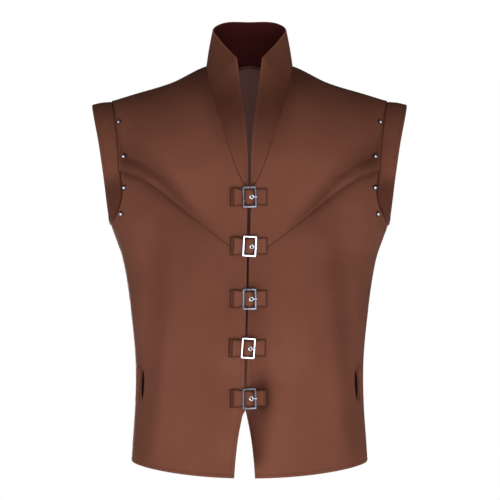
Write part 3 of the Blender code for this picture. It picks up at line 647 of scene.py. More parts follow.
def make_shell(
    name, rows, edges, thickness, ring=False, inside=None, stitch=STITCH_LINE, tone=None
):
    """A thin wall of cloth from rows of (point, direction) pairs, edges and seams pressed in.

    It also gives the lines that its stitches follow. Its shade function, if given, says how much
    painted shade darkens it at a point.
    A ring's last column meets its first, and inside is the material of its inner side.
    """
    height, width = len(rows), len(rows[0])
    across = [distances([point for point, _ in row]) for row in rows]
    upward = [distances([row[column][0] for row in rows]) for column in range(width)]
    mesh = bmesh.new()
    chart = mesh.loops.layers.uv.new("cloth")
    # Two layers of painted light: a painted highlight on rolled rims, and painted shade and shadow
    wear = mesh.verts.layers.float.new("wear")
    shade = mesh.verts.layers.float.new("shade")
    outer, inner, directions, place_of = {}, {}, {}, {}
    for row in range(height):
        for column in range(width):
            point, direction = rows[row][column]
            away = (
                across[row][column],
                across[row][-1] - across[row][column],
                upward[column][row],
                upward[column][-1] - upward[column][row],
            )
            relief, thin, worn, dark = pressed(edges, row, column, away, stitch)
            thin *= thickness * EDGE_THINNING
            # Painted shade and shadow from the piece's own shade function
            if tone is not None:
                dark = max(dark, tone(point))
            directions[row, column] = direction
            for corners, lift, darkness in (
                (outer, relief - thin, dark), (inner, min(relief, 0) / 2 - thickness + thin, 0)
            ):
                corner = mesh.verts.new(point + direction * lift)
                corner[wear] = worn
                corner[shade] = darkness
                corners[row, column] = corner
                place_of[corner] = (across[row][column], upward[column][row])
    close_wall(mesh, outer, inner, height, width, ring, inside is not None)
    if edges.first == "none" and not ring:
        for corners in (outer, inner):
            for row in range(height - 1):
                mesh.edges.get((corners[row, 0], corners[row + 1, 0])).smooth = False
    for face in mesh.faces:
        for loop in face.loops:
            loop[chart].uv = place_of[loop.vert]
    lines = stitch_lines(outer, directions, edges, height, width)
    return finished(name, mesh, BROWN, inside), lines


def finished(name, mesh, *materials, rounded_off=True):
    """Turns a bmesh into a named object of the scene with its materials."""
    for face in mesh.faces:
        face.smooth = rounded_off
    data = bpy.data.meshes.new(name)
    mesh.to_mesh(data)
    mesh.free()
    for material in materials:
        if material is not None:
            data.materials.append(material)
    piece = bpy.data.objects.new(name, data)
    bpy.context.scene.collection.objects.link(piece)
    return piece


class Finish:
    """A material in the making, with short ways to add its nodes and to join them."""

    def __init__(self, name):
        self.material = bpy.data.materials.new(name)
        self.material.use_nodes = True
        self.tree = self.material.node_tree

    def give(self, node, **values):
        """Sets a node's settings and sockets, or joins a socket to another node's output."""
        for key, value in values.items():
            if hasattr(node, key):
                setattr(node, key, value)
                continue
            socket = node.inputs[key.replace("_", " ")]
            if isinstance(value, bpy.types.NodeSocket):
                self.tree.links.new(value, socket)
            else:
                socket.default_value = value
        return node

    def add(self, kind, **values):
        """A new node of a kind, with its settings and sockets set or joined."""
        return self.give(self.tree.nodes.new("ShaderNode" + kind), **values)

    def surface(self, **values):
        """Sets or joins the sockets of the shader itself."""
        self.give(self.tree.nodes["Principled BSDF"], **values)

    def noise(self, place, **values):
        return self.add("TexNoise", Vector=place, **values).outputs["Fac"]

    def marked(self, layer, share):
        """How strongly a layer of the mesh marks a place, times a share."""
        mark = self.add("Attribute", attribute_name=layer)
        product = self.add("Math", operation="MULTIPLY", Value=mark.outputs["Fac"])
        product.inputs[1].default_value = share
        return product.outputs[0]

    def ramp(self, value, low, high, start=0.0, end=1.0):
        """A colour between two, as a value runs from start to end."""
        tones = self.add("ValToRGB", Fac=value)
        for stop, place, colour in zip(tones.color_ramp.elements, (start, end), (low, high)):
            stop.position = place
            stop.color = (*colour, 1)
        return tones.outputs["Color"]

    def tinted(self, colour, tint, share, blend):
        """A colour mixed with a tint, by a share."""
        mix = self.add("Mix", data_type="RGBA", blend_type=blend, Factor=share, A=colour, B=(*tint, 1))
        return mix.outputs["Result"]

    def between(self, value, low, high):
        """A number between two, as a value runs from 0 to 1."""
        return self.add("MapRange", Value=value, To_Min=low, To_Max=high).outputs["Result"]

    def bump(self, height, **values):
        """The surface's direction, tilted as if it had this height."""
        return self.add("Bump", Height=height, **values).outputs["Normal"]


FLECK_SHARE = 0.28
# How much paler the painted highlight is, and the tint and strength of the painted shade
HIGHLIGHT_LIGHTER = 1.9
HIGHLIGHT_SHARE = 0.85
PAINTED_SHADE_TINT = (0.36, 0.29, 0.29)
PAINTED_SHADE_SHARE = 0.75
RIB_SLANT = 58
ROUGHNESS_SPREAD = 0.06


def cloth_material(name, deep, light, roughness=0.8, gloss=0.0):
    """Smooth brushed twill: two close tones in soft clouds, a fine slanting rib and a short nap, with
    painted highlights and painted shade from the mesh's layers.
    """
    finish = Finish(name)
    place = finish.add("TexCoord").outputs["Object"]
    chart = finish.add("UVMap", uv_map="cloth").outputs["UV"]

    clouds = finish.noise(place, Scale=9.0, Detail=3.0, Roughness=0.55)
    flecks = finish.noise(place, Scale=620.0, Detail=2.0, Roughness=0.6)
    blend = finish.add("Mix", data_type="FLOAT", Factor=FLECK_SHARE, A=clouds, B=flecks)
    colour = finish.ramp(blend.outputs["Result"], deep, light, start=0.30, end=0.70)
    # Painted highlight on rolled rims, then painted shade and shadow, both from the mesh's layers
    pale = [min(part * HIGHLIGHT_LIGHTER, 1) for part in light]
    colour = finish.tinted(colour, pale, finish.marked("wear", HIGHLIGHT_SHARE), "MIX")
    colour = finish.tinted(colour, PAINTED_SHADE_TINT, finish.marked("shade", PAINTED_SHADE_SHARE), "MULTIPLY")

    slant = finish.add("Mapping", Vector=chart, Rotation=(0, 0, math.radians(RIB_SLANT)))
    ribs = finish.add(
        "TexWave", wave_type="BANDS", bands_direction="X", Vector=slant.outputs["Vector"],
        Scale=260.0, Distortion=1.2, Detail=2.0, Detail_Scale=1.6,
    )
    fuzz = finish.noise(place, Scale=1500.0, Detail=3.0, Roughness=0.7)
    ripples = finish.noise(place, Scale=38.0, Detail=2.0, Roughness=0.5)
    bumps = finish.bump(ribs.outputs["Fac"], Strength=0.22, Distance=0.00012)
    bumps = finish.bump(fuzz, Strength=0.30, Distance=0.00010, Normal=bumps)
    bumps = finish.bump(ripples, Strength=0.35, Distance=0.0006, Normal=bumps)

    low, high = roughness - ROUGHNESS_SPREAD, roughness + ROUGHNESS_SPREAD
    finish.surface(
        Base_Color=colour, Normal=bumps, Roughness=finish.between(flecks, low, high),
        Metallic=gloss, Specular_IOR_Level=0.10,
    )
    return finish.material


BROWN_DEEP = (0.150, 0.0510, 0.0300)
BROWN_LIGHT = (0.190, 0.0674, 0.0415)
WRONG_SIDE_DEEP = (0.198, 0.096, 0.082)
WRONG_SIDE_LIGHT = (0.245, 0.120, 0.104)
BROWN = cloth_material("brown_cloth", BROWN_DEEP, BROWN_LIGHT, roughness=0.62, gloss=0.3)
WRONG_SIDE = cloth_material("wrong_side_of_cloth", WRONG_SIDE_DEEP, WRONG_SIDE_LIGHT, roughness=0.75)

PANEL_STEPS = 46
LENGTH_SAMPLES = 10


def evenly(start, end):
    """Sample places from one value to another, to measure a length by."""
    return [start + (end - start) * i / LENGTH_SAMPLES for i in range(LENGTH_SAMPLES + 1)]


def turns_across(side, face, level):
    """The turns of a panel's row from its inner to its outer edge, fine near both."""
    turns = evenly(*edge_turns(side, face, level))
    along = distances([body(face, turn, level) for turn in turns])
    return [place_at(turns, along, place) for place in spread(along[-1], NEAR_EDGE, PANEL_STEPS)]


def panel_row(side, face, level):
    """The places and directions of a panel's row."""
    edges = edge_turns(side, face, level)
    return [
        cloth_point(side, face, turn, level, edges) for turn in turns_across(side, face, level)
    ]


def finer(levels, most):
    """Levels with more put between any two that are further apart than most."""
    filled = [levels[0]]
    for low, high in zip(levels, levels[1:]):
        steps = max(1, math.ceil((high - low) / most))
        filled += [low + (high - low) * i / steps for i in range(1, steps + 1)]
    return filled


SIDES = ((LEFT, "left"), (RIGHT, "right"))
HEM_LEVELS = [HEM_ROW + place for place in NEAR_EDGE]
ROW_STEP = 0.0055
SHOULDER_STEP = 0.020
SHOULDER_MIDDLE = 0.5
SHOULDER_NEAR = 0.95
SHOULDER_END = [0.965, 0.975, 0.984, 0.991, TOP_ROW]
SHOULDER_LEVELS = finer([0.0, SHOULDER_MIDDLE, SHOULDER_NEAR], SHOULDER_STEP)[1:] + SHOULDER_END
ARMPIT_STEP = 0.004
SIDE_LEVELS = finer(HEM_LEVELS + [ARMPIT_ROW, ARMPIT_ROW + ARMPIT_STEP, 0.0], ROW_STEP)
FRONT_LEVELS = SIDE_LEVELS + SHOULDER_LEVELS
FRONT_FLAT = (0.300, 0.705)
FRONT_CUT_AREA = 0.150

# The pocket's slit, cut through the front on a slight slant
POCKET_X = 0.1778
POCKET_HEIGHT = -0.5240
POCKET_LENGTH = 0.0540
POCKET_GAPE = 0.0105
POCKET_ROUND = 0.65
POCKET_STEPS = 12
POCKET_TILT = 4.6
POCKET_CUT_DEPTH = 0.016


def laid_on(point, normal, tilt):
    """Lays a thing flat on the cloth: its X across, its Y up, its Z outwards, turned by tilt."""
    across = Vector((0, 0, 1)).cross(normal).normalized()
    turn = Matrix((across, normal.cross(across), normal)).transposed().to_4x4()
    return Matrix.Translation(point) @ turn @ Matrix.Rotation(math.radians(tilt), 4, "Z")


def as_made(piece):
    """The mesh that an object's curve or its modifiers make."""
    return bpy.data.meshes.new_from_object(
        piece.evaluated_get(bpy.context.evaluated_depsgraph_get())
    )


def cut_slit(piece, side):
    """Cuts the pocket's slit through a front."""
    lens = []
    for gape in (POCKET_GAPE / 2, -POCKET_GAPE / 2):
        for step in range(POCKET_STEPS):
            along = step / POCKET_STEPS if gape > 0 else 1 - step / POCKET_STEPS
            open_here = math.sin(math.pi * along) ** POCKET_ROUND
            lens.append((gape * open_here, (along - 0.5) * POCKET_LENGTH))
    box = bmesh.new()
    half = POCKET_CUT_DEPTH / 2
    ends = [[box.verts.new((x, y, z)) for x, y in lens] for z in (-half, half)]
    for i in range(len(lens)):
        box.faces.new((ends[0][i - 1], ends[0][i], ends[1][i], ends[1][i - 1]))
    box.faces.new(ends[0])
    box.faces.new(ends[1])
    bmesh.ops.recalc_face_normals(box, faces=box.faces[:])
    box.transform(laid_on(*front_place(side * POCKET_X, POCKET_HEIGHT), side * POCKET_TILT))
    cutter = finished("slit_cutter", box, rounded_off=False)
    cut = piece.modifiers.new("slit", "BOOLEAN")
    cut.operation = "DIFFERENCE"
    cut.object = cutter
    shape = as_made(piece)
    piece.modifiers.clear()
    piece.data = shape
    bpy.data.objects.remove(cutter)


# The stitches are spun thread a little darker than the cloth. They are laid now, beside each
# edge as it is made, and joined into one piece of thread for each piece of cloth.
STITCH_PITCH = 0.0034
STITCH_LENGTH = 0.0025
THREAD_RADIUS = 0.00026
THREAD_SIDES = 5
STITCH_ARCH = 0.00022
STITCH_SINK = 0.00022
STITCH_END = 0.6
STITCH_WOBBLE = 0.00012
dice = random.Random(7)


def thread_material():
    finish = Finish("brown_thread")
    place = finish.add("TexCoord").outputs["Object"]
    twist = finish.noise(place, Scale=2400.0, Detail=1.0)
    colour = finish.ramp(twist, (0.105, 0.037, 0.022), (0.200, 0.078, 0.048))
    finish.surface(Base_Color=colour, Roughness=0.5)
    return finish.material


THREAD = thread_material()


def lay_stitch(mesh, middle, way, up):
    """One stitch: an arch of thread that sinks into the cloth at both of its ends."""
    side = up.cross(way).normalized()
    middle = middle + side * dice.uniform(-STITCH_WOBBLE, STITCH_WOBBLE)
    rings = []
    for share, lift, radius in (
        (-0.5, -STITCH_SINK, STITCH_END), (0, STITCH_ARCH, 1.0), (0.5, -STITCH_SINK, STITCH_END)
    ):
        centre = middle + way * STITCH_LENGTH * share + up * lift
        ring = []
        for corner in range(THREAD_SIDES):
            angle = 2 * math.pi * corner / THREAD_SIDES
            out = side * math.cos(angle) + up * math.sin(angle)
            ring.append(mesh.verts.new(centre + out * THREAD_RADIUS * radius))
        rings.append(ring)
    for low, high in zip(rings, rings[1:]):
        for corner in range(THREAD_SIDES):
            after = (corner + 1) % THREAD_SIDES
            mesh.faces.new((low[corner], low[after], high[after], high[corner]))
    mesh.faces.new(list(reversed(rings[0])))
    mesh.faces.new(rings[-1])


def sew(name, lines):
    """Lays stitches along lines of (point, direction) pairs and makes them one piece."""
    mesh = bmesh.new()
    for line in lines:
        points = [point for point, _ in line]
        normals = [normal for _, normal in line]
        along = distances(points)
        for number in range(1, int((along[-1] - STITCH_PITCH) / STITCH_PITCH)):
            start = number * STITCH_PITCH
            half_way = start + STITCH_LENGTH / 2
            middle = place_at(points, along, half_way)
            up = place_at(normals, along, half_way).normalized()
            way = place_at(points, along, start + STITCH_LENGTH) - place_at(points, along, start)
            lay_stitch(mesh, middle, way.normalized(), up)
    bmesh.ops.recalc_face_normals(mesh, faces=mesh.faces[:])
    thread = finished(name, mesh, THREAD)
    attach(thread, "root")
    return thread


def tailor(name, rows, edges, thickness, flat, held="hung", area=None, cut=None, **making):
    """Makes a piece of cloth for the solid of its name, with its stitches; its flat size is not used.
    """
    piece, lines = make_shell(name + "_cloth", rows, edges, thickness, **making)
    if cut is not None:
        cut(piece)
    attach(piece, "root")
    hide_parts(name)
    thread = sew(name + "_stitching", lines)


for side, word in SIDES:
    front_edge = ["turned" if level < COLLAR_END_ROW else "soft" for level in FRONT_LEVELS]
    tailor(
        "front_" + word, [panel_row(side, FRONT, level) for level in FRONT_LEVELS],
        Edges(front_edge, "seam", "turned", "seam"), CLOTH, FRONT_FLAT, area=FRONT_CUT_AREA,
        cut=lambda piece: cut_slit(piece, side), inside=WRONG_SIDE, tone=front_tone,
    )

# Backs: two panels of the same cloth, seamed down the centre back to a short vent at the hem.
# They rise to the nape under the collar and meet the fronts at the shoulders and the sides.
NAPE_STEPS = 24
NAPE_CLEAR = 0.01
NAPE_CROWDING = 1.7
# The level at which the neck seam crosses the centre back
NAPE_ROW = math.acos(NAPE_DEPTH / (SECTIONS[-1].back - RIDGE_DEPTH)) / QUARTER - NUDGE


def nape_levels(top, steps):
    """Levels from the nape up to just below top, crowded near the nape."""
    return [NAPE_ROW + (top - NAPE_ROW) * (i / steps) ** NAPE_CROWDING for i in range(steps)]


BACK_LEVELS = sorted(set(
    SIDE_LEVELS
    + finer([0.0, NAPE_ROW - NAPE_CLEAR], SHOULDER_STEP)[1:]
    + nape_levels(TOP_ROW, NAPE_STEPS)
    + SHOULDER_END
))
BACK_FLAT = (0.300, 0.735)
BACK_CUT_AREA = 0.155

for side, word in SIDES:
    vent_top = VENTS[side][-1].height - CHEST_HEIGHT
    back_edge = ["turned" if level < vent_top else "seam" for level in BACK_LEVELS]
    tailor(
        "back_" + word, [panel_row(side, BACK, level) for level in BACK_LEVELS],
        Edges(back_edge, "seam", "turned", "seam"), CLOTH, BACK_FLAT, area=BACK_CUT_AREA,
        inside=WRONG_SIDE,
    )

# Flaps: a second layer over each upper front, cut with a slanting lower edge that hangs free.
# The two edges make a wide V; each is turned under and stitched, and stands off a little.
FLAP_UNDERSIDE = 0.0008
FLAP_TOP = FLAP_UNDERSIDE + CLOTH
FLAP_EDGE_LIFT = 0.0032
FLAP_LIFT_WIDTH = 0.028
FLAP_LIFT_ROUND = 1.3
FLAP_LIFT_START = 0.17
FLAP_LIFT_FADE = 0.33
FLAP_SHARE_LEVEL = 0.1
FLAP_FAN_TOP = 0.42
FLAP_FAN_GAP = 0.005
FLAP_FAN_STEPS = 30
FLAP_FLAT = (0.262, 0.330)
FLAP_CUT_AREA = 0.049


def front_turn(side, level, share):
    """The turn at a share of the way across a front, and the turns of the front's edges."""
    edges = edge_turns(side, FRONT, level)
    return edges[0] + (edges[1] - edges[0]) * share, edges


def flap_edge_level(side, share):
    """The level at which a column of the front meets the flap's lower edge."""

    def below_edge(level):
        point = body(FRONT, front_turn(side, level, share)[0], level)
        return point.z < straight(FLAP_EDGE, abs(point.x), "height")

    return last_turn(below_edge, HEM_ROW / 2, SHOULDER_MIDDLE)


def flap_columns(side):
    """Each column of a flap, from its free edge up to the shoulder."""
    start, end = edge_turns(side, FRONT, FLAP_SHARE_LEVEL)
    columns = []
    for across in turns_across(side, FRONT, FLAP_SHARE_LEVEL):
        share = (across - start) / (end - start)
        fan = evenly(flap_edge_level(side, share), FLAP_FAN_TOP)
        reach = distances([body(FRONT, front_turn(side, level, share)[0], level) for level in fan])
        places = spread(reach[-1], NEAR_EDGE, FLAP_FAN_STEPS)[: len(NEAR_EDGE) + FLAP_FAN_STEPS]
        levels = [place_at(fan, reach, place) for place in places]
        levels += [level for level in SHOULDER_LEVELS if level > FLAP_FAN_TOP + FLAP_FAN_GAP]
        column = []
        for level, place in zip(levels, places + [None] * len(levels)):
            turn, edges = front_turn(side, level, share)
            point, normal = cloth_point(side, FRONT, turn, level, edges, under_flap=False)
            lift = FLAP_TOP
            if place is not None:
                fall = max(0, 1 - place / FLAP_LIFT_WIDTH) ** FLAP_LIFT_ROUND
                lift += FLAP_EDGE_LIFT * fall * ease((share - FLAP_LIFT_START) / FLAP_LIFT_FADE)
            column.append((point + normal * lift, normal))
        columns.append(column)
    return columns


for side, word in SIDES:
    rows = list(zip(*flap_columns(side)))
    free_height = CHEST_HEIGHT + COLLAR_END_ROW
    flap_side = ["turned" if row[0][0].z < free_height else "soft" for row in rows]
    tailor(
        "yoke_" + word, rows, Edges(flap_side, "seam", "bound", "seam"), CLOTH, FLAP_FLAT,
        area=FLAP_CUT_AREA, inside=WRONG_SIDE, tone=front_tone,
    )

# Collar: a tall stand collar that runs down both fronts as a narrow lapel, to the top buckle.
# It is two layers with a stiff layer between, joined at the centre back, and dark inside.
COLLAR_CLOTH = 0.0023
COLLAR_BULGE = 0.0010
# Painted shade on the lapels, darkest half way down
LAPEL_PAINTED_SHADE = 1.0
LAPEL_SHADE_HEIGHT = -0.072
LAPEL_SHADE_REACH = 0.060
COLLAR_LAP = 0.0045
COLLAR_LAP_END = 0.6
CORNER_ROW = 0.54
COLLAR_TOP = table(
    "around x y z",
    (0.00, 0.0000, 0.0600, 0.0820),
    (0.40, 0.0340, 0.0510, 0.0810),
    (0.75, 0.0530, 0.0270, 0.0720),
    (1.00, 0.0585, -0.0010, 0.0605),
    (1.35, 0.0490, -0.0290, 0.0430),
    (1.70, 0.0345, -0.0540, 0.0240),
    (2.00, 0.0200, -0.0750, 0.0070),
)
COLLAR_FRONT = table(
    "height half_width depth",
    (-0.1985, 0.0028, 0.1200),
    (-0.1500, 0.0036, 0.1165),
    (-0.0983, 0.0070, 0.1080),
    (-0.0563, 0.0135, 0.0960),
    (0.0070, 0.0200, 0.0750),
)
COLLAR_RISE_STEPS = 22
COLLAR_BACK_STEPS = 30
COLLAR_FRONT_STEP = 0.014
COLLAR_NUDGE = 0.002
COLLAR_FLAT = (0.350, 0.105)
COLLAR_CUT_AREA = 0.0225
COLLAR_DEEP = (0.044, 0.0060, 0.0058)
COLLAR_LIGHT = (0.076, 0.0110, 0.0104)
COLLAR_DARK = cloth_material("dark_collar_facing", COLLAR_DEEP, COLLAR_LIGHT)


def arch(share):
    """1 half way along and 0 at both ends."""
    return 4 * share * (1 - share)


def neck_seam(side, face, level):
    return body(face, max(inner_turn(side, face, level), 0.0), level)


def collar_rim(side, face, level):
    """The free edge of the collar, across from one place of its seam."""
    seam_point = neck_seam(side, face, level)
    if face == BACK:
        depth = max(seam_point.y - RIDGE_DEPTH, 0) / NAPE_DEPTH
        around = math.atan2(seam_point.x / NECK_HALF_WIDTH, depth) / QUARTER
    elif level >= CORNER_ROW:
        around = 1 + (1 - level) / (1 - CORNER_ROW)
    else:
        corner = neck_seam(side, face, CORNER_ROW).z
        end = neck_seam(side, face, COLLAR_END_ROW).z
        share = (corner - seam_point.z) / (corner - end)
        top, bottom = COLLAR_FRONT[-1].height, COLLAR_FRONT[0].height
        height = top + (bottom - top) * min(max(share, 0), 1)
        depth = smooth(COLLAR_FRONT, height, "depth")
        return Vector((smooth(COLLAR_FRONT, height, "half_width"), -depth, height))
    return Vector([smooth(COLLAR_TOP, around, axis) for axis in "xyz"])


def collar_normal(side, face, level, rise):
    """The collar's outward direction at its seam (rise 0) or its free edge (rise 1)."""
    high = min(level + COLLAR_NUDGE, 1.0)
    low = max(level - COLLAR_NUDGE, COLLAR_END_ROW if face == FRONT else NAPE_ROW)
    ends = []
    for place in (low, high):
        start = neck_seam(side, face, place)
        ends.append(start.lerp(collar_rim(side, face, place), rise))
    along = ends[1] - ends[0]
    up = collar_rim(side, face, level) - neck_seam(side, face, level)
    normal = up.cross(along).normalized()
    return normal if face == BACK else -normal


def collar_stations():
    """The places along the neck seam, from the centre back round to the collar's point."""
    back = [(BACK, level) for level in nape_levels(1, COLLAR_BACK_STEPS)]
    front = finer([COLLAR_END_ROW, 0.0, CORNER_ROW, 1.0], COLLAR_FRONT_STEP)
    return back + [(FRONT, level) for level in reversed(front)]


def collar_rows(side):
    """The collar's rows, from its seam up to its free edge."""
    columns = []
    for number, (face, level) in enumerate(collar_stations()):
        start = neck_seam(side, face, level)
        valley = Vector((0, 0, 0))
        if face == FRONT:
            turn = max(inner_turn(side, face, level), 0.0)
            valley = body_normal(face, turn, level) * valley_height(start)
        rim = collar_rim(side, face, level)
        low = collar_normal(side, face, level, 0)
        high = collar_normal(side, face, level, 1)
        lap = 1 if face == BACK else ease((level - COLLAR_LAP_END) / (1 - COLLAR_LAP_END))
        start -= (rim - start).normalized() * COLLAR_LAP * lap
        length = (rim - start).length
        column = []
        for place in spread(length, NEAR_EDGE, COLLAR_RISE_STEPS):
            rise = place / length
            direction = low.lerp(high, rise).normalized()
            point = start.lerp(rim, rise) + low * COLLAR_BULGE * arch(rise)
            if number == 0:
                point.x = 0
                direction.x = 0
            point += direction * FLAP_TOP + valley * bell(place, VALLEY_WIDTH)
            column.append((mirrored(side, point), mirrored(side, direction)))
        columns.append(column)
    return list(zip(*columns))


def collar_tone(point):
    """Painted shade on the lapels, darkest half way down."""
    return LAPEL_PAINTED_SHADE * bell(point.z - LAPEL_SHADE_HEIGHT, LAPEL_SHADE_REACH)


for side, word in SIDES:
    tailor(
        "collar_" + word, collar_rows(side), Edges("none", "none", "soft", "bright"),
        COLLAR_CLOTH, COLLAR_FLAT, area=COLLAR_CUT_AREA, inside=COLLAR_DARK, tone=collar_tone,
    )

# Armhole bands: a wide faced band set into each armhole, like a very short cap sleeve.
# It is seamed to the front, the back and the flap, and its outer rim is turned and stitched.
BAND_TOP = 0.0012
BAND_CLOTH = 0.0020
BAND_SHRINK = 0.92
BAND_RIM_TOP = -0.0640
BAND_RIM_BOTTOM = -0.254
BAND_BULGE = 0.0015
# Painted shade on the bands low down, under the arm
BAND_LOW_PAINTED_SHADE = 1.15
BAND_LOW_HEIGHT = -0.172
BAND_LOW_FADE = 0.035
BAND_STEPS = 8
BAND_STEP_LEVEL = 0.010
BAND_ARMPIT_STEPS = (0.0008, ARMPIT_STEP, 0.012)
BAND_REACH = table(
    "height x",
    (-0.254, 0.2304),
    (-0.206, 0.2345),
    (-0.165, 0.2401),
    (-0.125, 0.2470),
    (-0.090, 0.2550),
    (-0.061, 0.2620),
)
BAND_FLAT = (0.560, 0.038)
BAND_CUT_AREA = 0.0200


def band_rim(point):
    """The band's outer edge, straight across from a point of the armhole seam."""
    bottom, top = ARMHOLE_WIDEST - ARMHOLE_DROP, ARMHOLE_WIDEST + ARMHOLE_RISE
    share = (point.z - bottom) / (top - bottom)
    z = BAND_RIM_BOTTOM + (BAND_RIM_TOP - BAND_RIM_BOTTOM) * share
    y = ARMHOLE_DEPTH + (point.y - ARMHOLE_DEPTH) * BAND_SHRINK
    return Vector((smooth(BAND_REACH, z, "x"), y, z))


def band_seam_points():
    """The armhole seam as a closed ring of points, from the armpit up the front and down the back."""
    low = [ARMPIT_ROW + step for step in BAND_ARMPIT_STEPS]
    levels = finer(low + [0.0, BAND_TOP_ROW], BAND_STEP_LEVEL)
    points = []
    for face, order in ((FRONT, levels), (BACK, reversed(levels))):
        for level in order:
            points.append(body(face, outer_turn(face, level), level))
    bottom = body(FRONT, QUARTER, ARMHOLE_WIDEST - ARMHOLE_DROP - CHEST_HEIGHT)
    points.append(Vector((bottom.x, 0, bottom.z)))
    return points


def band_rows(side):
    """The band's rows, from its seam out to its rim."""
    seam_points = band_seam_points()
    count = len(seam_points)
    columns = []
    for number, point in enumerate(seam_points):
        before, after = seam_points[number - 1], seam_points[(number + 1) % count]
        rim = band_rim(point)
        direction = (rim - point).cross(after - before).normalized()
        if direction.dot(point - Vector((point.x, ARMHOLE_DEPTH, ARMHOLE_WIDEST))) < 0:
            direction = -direction
        length = (rim - point).length
        column = []
        for place in spread(length, NEAR_EDGE, BAND_STEPS):
            share = place / length
            spot = point.lerp(rim, share) + direction * (BAND_TOP + BAND_BULGE * arch(share))
            column.append((mirrored(side, spot), mirrored(side, direction)))
        columns.append(column)
    return list(zip(*columns))


def band_tone(point):
    """Painted shade on the bands, darker low down where they turn in under the arm."""
    return BAND_LOW_PAINTED_SHADE * ease((BAND_LOW_HEIGHT - point.z) / BAND_LOW_FADE)


for side, word in SIDES:
    tailor(
        "armhole_band_" + word, band_rows(side), Edges("none", "none", "seam", "turned"),
        BAND_CLOTH, BAND_FLAT, area=BAND_CUT_AREA, ring=True, inside=WRONG_SIDE, tone=band_tone,
    )

# Pocket welts: a narrow folded strip of the same cloth, sewn flat beside each pocket's slit.
# Inside the slit shows the pocket's lining, sewn to the back of the front and coloured near black as
# painted shadow.
WELT_INNER = 0.0026
WELT_OUTER = 0.0080
WELT_CLOTH = 0.0014
WELT_EXTRA_LENGTH = 0.004
WELT_GAP = 0.0004
WELT_STEPS = 6
WELT_LENGTH_STEPS = 12
WELT_STITCH = 0.0018
WELT_FLAT = (0.0165, 0.058)


def near_edge(stitch):
    """Places close to an edge, as many as a panel has, with one on the edge's stitch line."""
    return [place * stitch / STITCH_LINE for place in NEAR_EDGE]


def welt_rows(side):
    """The welt's rows, from its bottom end to its top, laid on the front."""
    fine = near_edge(WELT_STITCH)
    length = POCKET_LENGTH + WELT_EXTRA_LENGTH
    rows = []
    for up in spread(length, fine, WELT_LENGTH_STEPS):
        height = POCKET_HEIGHT - length / 2 + up
        lean = math.tan(math.radians(POCKET_TILT)) * (height - POCKET_HEIGHT)
        row = []
        for across in spread(WELT_OUTER - WELT_INNER, fine, WELT_STEPS):
            x = POCKET_X + WELT_INNER + across - lean
            point, normal = front_place(side * x, height)
            row.append((point + normal * (WELT_GAP + WELT_CLOTH), normal))
        rows.append(row)
    return rows


LINING_CLOTH = 0.0005
LINING_BEHIND = 0.0032
LINING_HALF_WIDTH = 0.0100
LINING_STEPS = 8
# The lining's near-black colours are painted shadow in the slit
LINING_SHADOW_DEEP = (0.0080, 0.0022, 0.0022)
LINING_SHADOW_PALE = (0.0130, 0.0036, 0.0036)
LINING_PAINTED_SHADOW = cloth_material("pocket_lining_painted_shadow", LINING_SHADOW_DEEP, LINING_SHADOW_PALE)


def lining_rows(side):
    """The part of a pocket's lining that shows in its slit, behind the front."""
    rows = []
    for up in range(LINING_STEPS + 1):
        height = POCKET_HEIGHT + (up / LINING_STEPS - 0.5) * (POCKET_LENGTH + WELT_EXTRA_LENGTH)
        row = []
        for across in range(LINING_STEPS + 1):
            x = POCKET_X + (2 * across / LINING_STEPS - 1) * LINING_HALF_WIDTH
            point, normal = front_place(side * x, height)
            row.append((point - normal * LINING_BEHIND, normal))
        rows.append(row)
    return rows


for side, word in SIDES:
    lining, _ = make_shell(
        f"pocket_lining_{word}_cloth", lining_rows(side), Edges(*["none"] * 4), LINING_CLOTH
    )
    lining.data.materials[0] = LINING_PAINTED_SHADOW
    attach(lining, "root")

for side, word in SIDES:
    tailor(
        "pocket_welt_" + word, welt_rows(side), Edges(*["turned"] * 4), WELT_CLOTH, WELT_FLAT,
        "stretched", stitch=WELT_STITCH,
    )

# Straps and tabs: each strap is sewn to one front and passes through its buckle; the short tab
# on the other front is folded round the buckle's centre bar and sewn down.
# The last column marks the buckles whose steel gets a painted darker reflection
BUCKLES = table(
    "height x tilt pitch yaw on_flap worn",
    (-0.2195, 0.0002, 1.5, -1.5, -1.0, True, True),
    (-0.2970, 0.0003, -3.0, 2.5, 0.0, True, False),
    (-0.3815, 0.0000, 0.5, -5.0, -5.5, False, True),
    (-0.4605, -0.0019, -4.0, 2.5, 0.0, False, False),
    (-0.5412, 0.0000, 1.0, -4.0, -5.5, False, True),
)
BUCKLE_MIDDLE = 0.0050
STRAP_CLOTH = 0.0012
STRAP_HEIGHT = 0.0262
STRAP_HEIGHTS = table(
    "along height",
    (-0.0320, 0.0300), (-0.0200, 0.0290), (-0.0130, 0.0262), (-0.0095, 0.0252),
    (0.0095, 0.0252), (0.0150, 0.0266), (0.0290, 0.0280),
)
STRAP_GAP = 0.0004
TILT_REACH = 1.5
# Near its buckle a strap bridges the folds of the fronts
BRIDGE_HALF = 0.010
BRIDGE_FADE = 0.012
STRAP_STITCH = 0.0021
STRAP_STEPS = 14
STRAP_STEP_LENGTH = 0.0009
STRAP_BENDS = table(
    "along height",
    (-0.0262, 0.0062), (-0.0205, 0.0049), (-0.0150, 0.0037), (-0.0105, 0.0031),
    (-0.0083, 0.0033), (-0.0058, 0.0060), (-0.0030, 0.0089), (0.0000, 0.0097),
    (0.0030, 0.0089), (0.0063, 0.0050), (0.0083, 0.0025), (0.0105, 0.0015),
    (0.0140, 0.0012), (0.0280, 0.0012),
)
ANCHOR_BENDS = table(
    "along height",
    (-0.0315, 0.0012), (-0.0200, 0.0012), (-0.0100, 0.0014), (-0.0062, 0.0020),
)
STRAP_FLAT = (0.060, STRAP_HEIGHT)
ANCHOR_FLAT = (0.0255, STRAP_HEIGHT)


